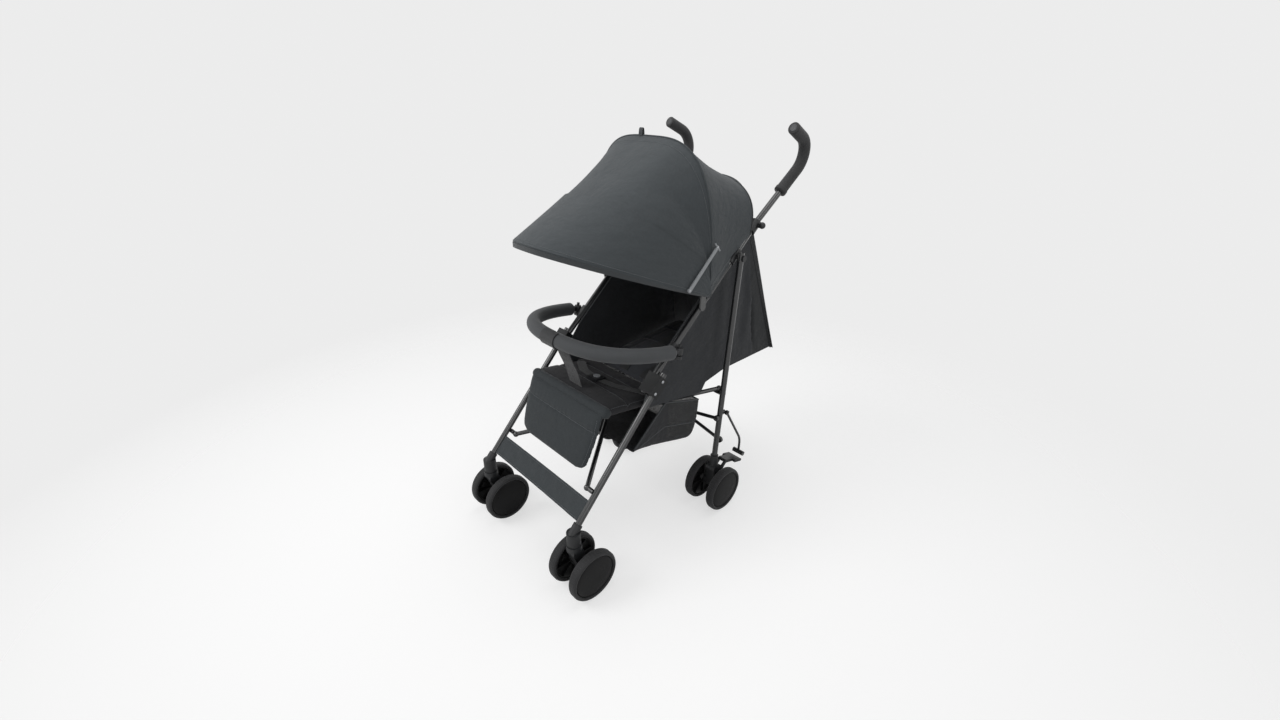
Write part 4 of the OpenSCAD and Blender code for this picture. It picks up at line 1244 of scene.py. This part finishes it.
GUSSET_KEEP, GUSSET_FILLS, GUSSET_STEPS = 0.33, 0.6, 24
foot, head, ear = (wing_outline[i] for i in (WING_FOOT, WING_HEAD, EAR_TOP))
for key, sign in SIDES.items():
    path = []
    for degrees in (4, 2.6, 1.5, 0.7, 0.2):
        edge = curtain_at(0, math.radians(degrees))
        path.append(place(sign * (wing_x - 0.4), (edge.y + between(head, ear, edge.z)) / 2, edge.z))
    for i in range(1, CURTAIN_STEPS + 1):
        edge = curtain_at(i / CURTAIN_STEPS, 0)
        x = wing_x + 1 + 3.4 * i / CURTAIN_STEPS
        path.append(place(sign * x, (edge.y + between(foot, head, edge.z)) / 2, edge.z))
    # The piping wears the curtain's darker grey, which is painted shade.
    piping = tube("corner_piping_" + key, path, 0.0032, CURTAIN, ACROSS, 12)
    carried(piping, "seat", SOFT_KEEP)
    rows = []
    for i in range(GUSSET_STEPS + 1):
        turn = math.radians(19.5 + 55.5 * i / GUSSET_STEPS)
        outer = at_bearing(lambda a: rear_at(1, a), turn)
        inner = at_bearing(lambda a: curtain_at(0, a), turn)
        outer -= out_from_heart(outer) * 1.2
        row = [outer.lerp(inner, k / 8) - out_from_heart(outer) * (2 * math.sin(math.pi * k / 8)) for k in range(9)]
        rows.append([place(sign * p.x, p.y, p.z) for p in row])
    gusset = cloth_sheet("hood_gusset_" + key, rows, CANOPY, LIGHT_THICK, 0.0)
    carried(gusset, "seat", GUSSET_KEEP)
    cut, run = flat_area(gusset), run_of([row[0] for row in rows])
    print(gusset.name, round(run, 3), "m along its seam")

# %% [markdown]
# The basket is a bag: cloth in front, open mesh behind, hung under the seat. Five plates would look like a box,
# so it is one height field instead, deep in the middle and rising to the rim with rounded corners, with a sag
# along its floor. Points crowd together toward the walls, where the shape turns most.

# %% The basket
basket_half = wing_x - 4
basket_front, basket_rear = (seat_front[0] + 84, 275), (WHEELBASE - 36, 203)
crest = (basket_rear[0] + 12, 338)
hang = (seat_rear[0] - 8, seat_rear[1] - 9)
lip = (basket_front[0] + 8, basket_front[1] + 10)


def step_between(points, y):
    """Height at y on a run of straight lines."""
    for (y0, z0), (y1, z1) in zip(points, points[1:]):
        if y <= y1:
            return z0 + (z1 - z0) * (y - y0) / (y1 - y0)
    return points[-1][1]


def basket_point(u, w):
    """u runs across from -1 to 1, w from the front lip (0) to the rear crest (1)."""
    aside, along_floor = math.sin(u * math.pi / 2), math.sin(w * math.pi / 2)
    x = basket_half * aside
    y = lip[0] + (crest[0] - 1.5 - lip[0]) * along_floor
    rim = step_between([lip, hang, crest], y)
    floor = step_between([basket_front, (basket_rear[0] + 12, basket_rear[1] - 3)], y)
    deep = max(0, 1 - abs(aside) ** 22) ** 0.3 * max(0, 1 - along_floor**34) ** 0.3
    ruck = 1.6 * noise.noise(Vector((x / 34, y / 34, 2))) + 0.8 * noise.noise(Vector((x / 14, y / 14, 5)))
    bow = 5 * (1 - abs(u)) * math.sin(math.pi * w)
    z = rim - (rim - floor - 3 + bow * 0.6 - max(0, ruck)) * deep
    return Vector((x - math.copysign(1.5, u) * min(1, abs(u) * 20), y, z))


basket_rows = [[place(*basket_point(-1 + j / 40, i / 60)) for j in range(81)] for i in range(61)]
basket = cloth_sheet("basket_bag", basket_rows, LINING, CLOTH_THICK, 0.0)
basket.data.materials.append(MESH)
MESH_FROM, MESH_ABOVE = 330, 208
for face in basket.data.polygons:
    back, out = (face.center.y - axle_y) * 1000, abs(face.center.x) * 1000
    wall = out > basket_half - 7 or back > crest[0] - 9
    if wall and back > MESH_FROM and face.center.z * 1000 > MESH_ABOVE:
        face.material_index = 1
carried(basket, "seat", SOFT_KEEP, node="basket")
cut = flat_area(basket)
rim_path = [row[0] for row in basket_rows] + basket_rows[-1][1:-1] + [row[-1] for row in reversed(basket_rows)]
carried(tube("basket_binding", rim_path, 0.0022, TRIM, UP, 8), "seat", SOFT_KEEP)
for key, sign in SIDES.items():
    hem = [place(*basket_point(sign * 0.93, i / 40)) - Vector((0, 0, 0.0008)) for i in range(2, 37)]
    carried(tube("basket_hem_" + key, hem, 0.0019, TRIM, ACROSS, 8), "seat", SOFT_KEEP)
print("basket", round(cut, 3), "square metres")

# %% [markdown]
# A band of cloth between the front legs is the footrest. It is stretched from leg to leg, so a plain grid will do,
# which sags a little in the middle, waves a little along its length and is sewn near both edges.

# %% The footrest band
FRONT_X, LEG_RADIUS, FOOT_GAP, FOOT_KEEP = 191, 8, 0.3, 0.343
foot_half = FRONT_X - LEG_RADIUS - FOOT_GAP
leg_run, leg_rise = math.cos(math.radians(LEG_ANGLE)), math.sin(math.radians(LEG_ANGLE))
foot_low, foot_high = along(leg_foot, LEG_ANGLE, 38), along(leg_foot, LEG_ANGLE, 92)
foot_rows = []
for i in range(13):
    y, z = (a + (b - a) * i / 12 for a, b in zip(foot_low, foot_high))
    row = []
    for k in range(-40, 41):
        sag = (1 - (k / 40) ** 2) * 3.5 + 1.2 * noise.noise(Vector((k / 6, i / 5, 4)))
        row.append(place(foot_half * k / 40, y + sag * leg_rise, z - sag * leg_run))
    foot_rows.append(row)
foot_band = cloth_sheet("footrest_band", foot_rows, FOOT, 0.0024, 0.0)
carried(foot_band, "seat", FOOT_KEEP, node="footrest_strap")
face_up = Vector((0, -leg_rise, leg_run)) * 0.0015
stitches("footrest_stitches", [[p + face_up for p in foot_rows[i]] for i in (1, 11)], "seat", FOOT_KEEP)
print("footrest", round(2 * foot_half), "mm between the legs")

# %% [markdown]
# The harness is flat webbing: a crotch strap that comes up from the seat and turns round the bumper bar, a lap strap
# from each side to the buckle, and two shoulder straps. A remesh would wipe out anything so thin, so straps are
# modelled directly as narrow sheets. Where they lie on a pad their run is dropped onto it with rays and smoothed.

# %% The harness
def band(name, spine, across, thick):
    """A flat strap: a spine of points, each with its own half-width vector."""
    rows = [[spot + across[i] * (k / 4) for k in range(-4, 5)] for i, spot in enumerate(spine)]
    return cloth_sheet(name, rows, STRAP, thick, 0.0)


BUMPER_X, BUMPER_PIN, BUMPER_REACH, BUMPER_TIP = 197, (309.3, 549.5), 228, math.radians(9)
STRAP_ROUND = 19.6
bar_mid = (BUMPER_PIN[0] - BUMPER_REACH * math.cos(BUMPER_TIP), BUMPER_PIN[1] + BUMPER_REACH * math.sin(BUMPER_TIP))
strap_low = (seat_front[0] + 30, seat_front[1] - 30 * math.tan(math.radians(seat_tilt)) + 21.6)
spine = []
loop = [math.radians(-20 - 8 * i) for i in range(32)]
round_bar = [(bar_mid[0] + STRAP_ROUND * math.cos(a), bar_mid[1] + STRAP_ROUND * math.sin(a)) for a in loop]
for i in range(34):
    t = i / 34
    y, z = (a + (b - a) * t for a, b in zip(strap_low, round_bar[0]))
    spine.append(place(0, y + 2.5 * math.sin(math.pi * t) * math.sin(2 * math.pi * t), z))
spine += [place(0, y, z) for y, z in round_bar]
crotch = band("crotch_webbing", spine, [ACROSS * 0.025] * len(spine), 0.0022)
carried(crotch, "seat", SOFT_KEEP, node="crotch_strap")
round(run_of(spine), 3)


def strap_on(piece, spec, name, body, stations, width, drop=0.0016):
    """A strap laid on a pad through (across, along) stations in millimetres."""
    spots = []
    for (x0, d0), (x1, d1) in zip(stations, stations[1:]):
        for k in range(16):
            spots.append((x0 + (x1 - x0) * k / 16, d0 + (d1 - d0) * k / 16))
    spots.append(stations[-1])
    spine = laid_on(piece, [on_pad(spec, x, d) for x, d in spots], -spec["lift"], drop)
    for turn in range(3):
        spine = [spine[0]] + [(a + b * 2 + c) / 4 for a, b, c in zip(spine, spine[1:], spine[2:])] + [spine[-1]]
    sides = []
    for i in range(len(spine)):
        ahead = (spine[min(i + 1, len(spine) - 1)] - spine[max(i - 1, 0)]).normalized()
        sides.append(ahead.cross(spec["lift"]).normalized() * (width / 2000))
    strap = carried(band(name, spine, sides, CLOTH_THICK), body, SOFT_KEEP)
    round(run_of(spine), 3)


for key, sign in SIDES.items():
    lap = [(sign * 19, 94), (sign * 60, 100), (sign * 110, 130), (sign * 146, 170)]
    shoulder = [(sign * 40, 8), (sign * 46, 90), (sign * 50, 180), (sign * 52, 268)]
    strap_on(seat_pad, seat_spec, "lap_webbing_" + key, "seat", lap, 25)
    strap_on(back_pad, back_spec, "shoulder_webbing_" + key, "backrest", shoulder, 30)
print("five straps")

# %% [markdown]
# The bumper bar is a bent tube in a foam sleeve, in two halves that meet in the middle so that the stroller can
# fold. Its bow is the same kind of curve as the canopy hoops, tipped up by nine degrees. The sleeve is squeezed
# a little where it ends, as foam is when it is pushed over a tube, and sits in a moulded ferrule at the pivot.

# %% The bumper bar
BUMPER_POWER, BUMPER_RADIUS, BUMPER_STEP, NECK, HALF_SEAM = 2.6, 18, 3.0, 22, 1


def bumper_at(angle):
    reach = BUMPER_REACH * math.sin(angle) ** (2 / BUMPER_POWER)
    x = BUMPER_X * math.cos(angle) ** (2 / BUMPER_POWER)
    return Vector((x, BUMPER_PIN[0] - reach * math.cos(BUMPER_TIP), BUMPER_PIN[1] + reach * math.sin(BUMPER_TIP)))


def rounded_ends(count, radius, step, soft):
    """Radii along a sleeve whose two ends are rounded over a soft length."""
    radii = []
    for i in range(count):
        near = min(i, count - 1 - i) * step
        radii.append(radius * (1 - 0.4 * max(0, 1 - near / soft) ** 2.5))
    return radii


first = math.asin((NECK / BUMPER_REACH) ** (BUMPER_POWER / 2))
last = math.acos((HALF_SEAM / BUMPER_X) ** (BUMPER_POWER / 2))
bow = even_path([bumper_at(first + (last - first) * i / 900) for i in range(901)], BUMPER_STEP)
tipped = Vector((0, math.sin(BUMPER_TIP), math.cos(BUMPER_TIP)))
FERRULE = {-0.009: 0.0088, -0.0082: 0.0097, -0.004: 0.01, 0: 0.01, 0.004: 0.01, 0.0082: 0.0097, 0.009: 0.0088}
NECK_RADII = [0.0078] * 6 + [0.0085, 0.0098, 0.0104, 0.0104]
for key, sign in SIDES.items():
    body = "bumper_" + key
    path = [place(sign * p.x, p.y, p.z) for p in bow]
    radii = [r / 1000 for r in rounded_ends(len(path), BUMPER_RADIUS, BUMPER_STEP, 7)]
    sleeve = tube("bumper_sleeve_" + key, path, radii, BUMPER_FOAM, tipped, 32)
    carried(sleeve, body, node=body)
    pin = place(sign * BUMPER_X, *BUMPER_PIN)
    ferrule = [pin + tipped * d for d in FERRULE]
    carried(tube("bumper_eye_" + key, ferrule, list(FERRULE.values()), BLACK, ACROSS, 28), body)
    neck_path = [pin.lerp(path[0], k / 8) for k in range(9)] + [path[2]]
    carried(tube("bumper_neck_" + key, neck_path, NECK_RADII, BLACK, tipped, 24), body)
print(len(bow), "stations on each half")

# %% [markdown]
# Each handle is a foam sleeve over the bent end of the push tube. It begins at a moulded collar, follows the
# tube round its crook and stops at a rounded cap. The crook is a plain arc in the handle's own plane, turned
# into place with the same two rotations as the tube: leaned out from the middle, then tipped back.

# %% Handles
HANDLE_X, GRIP_FROM, CROOK_FROM, CROOK, TURN, TAIL = 173, 110, 184, 50, math.radians(113), 56
GRIP_STEP, COLLAR = 2.0, 12
lean_out = Matrix.Rotation(math.radians(8.5), 3, "Y")
tip_back = Matrix.Rotation(math.radians(-47), 3, "X")


def handle_point(spot, sign):
    turned = lean_out @ tip_back @ spot
    return place(sign * (HANDLE_X + turned.x), block[0] + turned.y, block[1] + turned.z)


local = [Vector((0, 0, GRIP_FROM + 2 * i)) for i in range(37)]
for i in range(61):
    turn = TURN * i / 60
    local.append(Vector((0, -CROOK * (1 - math.cos(turn)), CROOK_FROM + CROOK * math.sin(turn))))
tail, heading = local[-1], Vector((0, -math.sin(TURN), math.cos(TURN)))
local += [tail + heading * (TAIL * i / 28) for i in range(1, 29)]
local = even_path(local, GRIP_STEP)
for key, sign in SIDES.items():
    path = [handle_point(p, sign) for p in local]
    side = lean_out @ ACROSS
    side.x *= sign
    radii = []
    for i in range(len(path)):
        far = i * GRIP_STEP
        to_end = (len(path) - 1) * GRIP_STEP - far
        swell = 15.0 - 0.5 * math.exp(-((far - 60) / 40) ** 2)
        if far < COLLAR:
            swell = 16.5 - 0.8 * (max(0, 2 - far) / 2 + max(0, far - 10) / 2)
        radii.append(0.001 * swell * (1 - 0.3 * max(0, 1 - to_end / 5) ** 2))
    sleeve = tube("handle_sleeve_" + key, path, radii, GRIP_FOAM, side, 32)
    carried(sleeve, "frame_" + key, node="grip_" + key)
    axis = (path[-1] - path[-4]).normalized()
    cap_path = [path[-1] + axis * d for d in (-0.002, 0.0002, 0.0007, 0.001)]
    cap = tube("handle_cap_" + key, cap_path, [0.0094, 0.0094, 0.0086, 0.007], CAP, side, 28)
    carried(cap, "frame_" + key)
print(len(local), "stations on each handle")

# %% [markdown]
# A wheel is turned on a lathe in real life, and so it is here: a profile is spun round the axle. The outer face
# is a domed cover, the tyre a band of soft rubber with rounded shoulders, and the inner face a dish with a hub.
# The tread has shallow bars and the dish has ribs; both are one small cube on a ring, so one tree makes both.

# %% The ring tree
def ring_tree():
    sizes = {"Count": "Int", "Radius": "Float", "Size": "Vector", "Centre": "Vector"}
    tree, given, result = new_tree("bars_on_a_ring", **sizes, Finish="Material")
    ring = add_node(tree, "GeometryNodeMeshCircle", {}, {"Vertices": given["Count"], "Radius": given["Radius"]})[0]
    spot = add_node(tree, "GeometryNodeInputPosition", {}, {})[0]
    turned = add_node(tree, "FunctionNodeAlignRotationToVector", {"axis": "X"}, {"Vector": spot})[0]
    bar = add_node(tree, "GeometryNodeMeshCube", {}, {"Size": given["Size"]})[0]
    laid = {"Points": ring, "Instance": bar, "Rotation": turned}
    bars = add_node(tree, "GeometryNodeInstanceOnPoints", {}, laid)[0]
    upright = {"Geometry": bars, "Translation": given["Centre"], "Rotation": (0, math.pi / 2, 0)}
    stood = add_node(tree, "GeometryNodeTransform", {}, upright)[0]
    return finish_tree(tree, stood, given["Finish"], result)


RING = ring_tree()


def bars(name, count, radius, size, centre, material, body):
    seed = bpy.data.meshes.new(name)
    seed.from_pydata([(0, 0, 0)], [], [])
    sizes = {"Count": count, "Radius": radius, "Size": size, "Centre": centre, "Finish": material}
    return carried(grow(name, RING, seed, sizes, material), body)


print("one tree for tread bars and ribs")

# %% [markdown]
# The wheels stand in pairs, two on each caster and two on each rear leg, with their covers facing away from each
# other. All eight are the same two profiles, so one loop over side, end and place in the pair makes them. The tyre
# is the same on both sides, and half its profile is enough; the cover is read from its middle round to its hub.

# %% Eight wheels
TYRE_HALF = [
    (56.4, 7.5), (56.8, 9.8), (57.6, 11.2), (59, 12.3), (60.6, 12.7), (62.2, 12.2), (63.8, 11), (64.8, 9.4),
    (65.3, 7.4), (65.4, 4),
]
TYRE = TYRE_HALF + [(radius, -out) for radius, out in reversed(TYRE_HALF)] + TYRE_HALF[:1]
DOME = [(0, 13), (9, 13), (18, 12.9), (28, 12.6), (38, 12), (46, 11.2), (51, 10.4), (54, 9.5), (55.6, 8.3)]
RIM = [(56.2, 6.8), (56.3, 0), (56.2, -7.6), (55.4, -9.4), (53.6, -9.8), (52.2, -8.8), (51, -5)]
DISH = [(30, -3.6), (15.5, -3.4), (14.4, -4.6), (13.6, -11.8), (12.8, -12.8)]
HUB = [(6, -12.9), (4.4, -12.6), (4.3, -11), (4.3, 7), (0, 7)]
COVER = DOME + RIM + DISH + HUB
REAR_X, PAIR_HALF, WHEEL_RADIUS = 206, 40, 66
for key, sign in SIDES.items():
    for end, x, y in (("front", FRONT_X, 0), ("rear", REAR_X, WHEELBASE)):
        for place_in_pair, way in (("outer", 1), ("inner", -1)):
            label = f"{end}_{{}}_{place_in_pair}_{key}"
            body = f"{end}_wheel_{place_in_pair}_{key}"
            facing = sign * way
            centre = place(sign * (x + way * PAIR_HALF), y, WHEEL_RADIUS)
            carried(spun(label.format("tyre"), TYRE, centre, facing, TREAD), body)
            carried(spun(label.format("disc"), COVER, centre, facing, DISC), body, node=body)
            bars(label.format("tread"), 56, 0.0653, (0.0012, 0.0046, 0.014), centre, TREAD, body)
            rib_centre = centre - ACROSS * (facing * 0.0062)
            bars(label.format("ribs"), 8, 0.033, (0.037, 0.0022, 0.006), rib_centre, DISC, body)
print("eight wheels,", len(TYRE), "and", len(COVER), "points in their profiles")

# %% [markdown]
# Small fasteners tell the eye that parts are joined and not grown: two heads on each knee bracket, and one at each
# end of the canopy stays. They come from the rivet tree, one call for each body they ride on.

# %% Rivets on brackets and stays
BRACKET_FACE, BRACKET_TILT, STAY_FACE = 202.5, 44.75, 208.4
bracket = (knee[0], knee[1] - 5)
stay_ends = ((stud[0] - 83, stud[1] + 29), (stud[0] + 8, stud[1] + 115))
for key, sign in SIDES.items():
    out = Vector((sign, 0, 0))
    knee_heads = [(place(sign * BRACKET_FACE, *along(bracket, BRACKET_TILT, d)), out) for d in (-17, 17)]
    rivets("knee_rivets_" + key, knee_heads, "frame_" + key, 0.0042, 0.0018, ZINC)
    stay_heads = [(place(sign * STAY_FACE, y, z), out) for y, z in stay_ends]
    rivets("stay_rivets_" + key, stay_heads, "stay_" + key, 0.0032, 0.0013, ZINC)
print("rivets on both sides")

# %% [markdown]
# The stage is a plain pale floor. It is a disc that fades to nothing at its rim, so it has no horizon. The camera
# sees it in the picture's pale grey, with a little glow, and the stroller's shadow stays on it; what it sends back
# to the stroller is plain light from a pale surface.

# %% The floor
def stage_floor(light, seen_light, seen_glow):
    """The floor lights the stroller with one grey, and shows the camera another with a little glow of its own."""
    shell = bmesh.new()
    bmesh.ops.create_circle(shell, cap_ends=True, cap_tris=True, segments=96, radius=4.0)
    mesh = bpy.data.meshes.new("floor")
    shell.to_mesh(mesh)
    shell.free()
    finish = Finish("pale_floor", (light,) * 3, 0.9)
    where = finish.coords()
    x, y, z = finish.parts(where)
    fade = (x * x + y * y).above(1.9, 1.5)
    seen = finish.node("ShaderNodeLightPath", {}, {}).outputs["Is Camera Ray"]
    paint = finish.mix(finish.noise(where, 3, 2), (light,) * 3, (light + 0.02,) * 3)
    finish.show("Base Color", finish.mix(seen, paint, (seen_light,) * 3))
    finish.show("Emission Color", finish.mix(seen, (0, 0, 0), (seen_glow,) * 3))
    finish.show("Emission Strength", 1.0)
    clear = finish.node("ShaderNodeBsdfTransparent", {}, {})
    blend = finish.node("ShaderNodeMixShader", {}, {0: fade, 1: finish.shader.outputs[0], 2: clear.outputs[0]})
    finish.tree.links.new(blend.outputs[0], finish.tree.nodes["Material Output"].inputs["Surface"])
    floor = as_piece("floor", mesh, finish.material)
    floor.location.z = -0.0005


stage_floor(light=0.8, seen_light=0.46, seen_glow=0.585)
print("floor laid")

# %% [markdown]
# The world shows the same pale grey to the camera, and to the gloss of the tubes. What it gives as light is a
# separate, plainer level. Large lamps above and beside the stroller shape the tubes and leave a soft shadow.

# %% World and lamps
def lamp(name, spot, target, size, watts):
    light = bpy.data.lights.new(name, "AREA")
    light.shape, light.size, light.energy = "DISK", size, watts
    holder = bpy.data.objects.new(name, light)
    holder.location = spot
    holder.rotation_euler = (Vector(target) - Vector(spot)).to_track_quat("-Z", "Y").to_euler()
    bpy.context.scene.collection.objects.link(holder)


def pale_world(seen, given):
    world = bpy.data.worlds.new("studio")
    world.use_nodes = True
    bpy.context.scene.world = world
    tree = world.node_tree
    background = tree.nodes["Background"]
    rays = tree.nodes.new("ShaderNodeLightPath")
    level = tree.nodes.new("ShaderNodeMix")
    looks = rays.outputs["Is Camera Ray"]
    for kind in ("Is Transmission Ray", "Is Glossy Ray"):
        either = tree.nodes.new("ShaderNodeMath")
        either.operation = "MAXIMUM"
        tree.links.new(looks, either.inputs[0])
        tree.links.new(rays.outputs[kind], either.inputs[1])
        looks = either.outputs[0]
    tree.links.new(looks, level.inputs[0])
    level.inputs[2].default_value, level.inputs[3].default_value = given, seen
    tree.links.new(level.outputs[0], background.inputs["Strength"])
    background.inputs["Color"].default_value = (1, 1, 1, 1)


pale_world(seen=0.84, given=0.34)
lamp("key", (-1.3, -2.3, 2.7), (0, 0, 0.5), 1.8, 42)
lamp("fill", (2.3, -1.6, 1.7), (0, 0, 0.5), 1.8, 10)
lamp("top", (0.0, 0.3, 3.0), (0, 0, 0.4), 2.0, 18)
lamp("side", (2.6, 0.6, 2.2), (0, 0, 0.6), 0.7, 4)
bpy.context.scene.view_settings.view_transform = "Standard"
print("stage set")
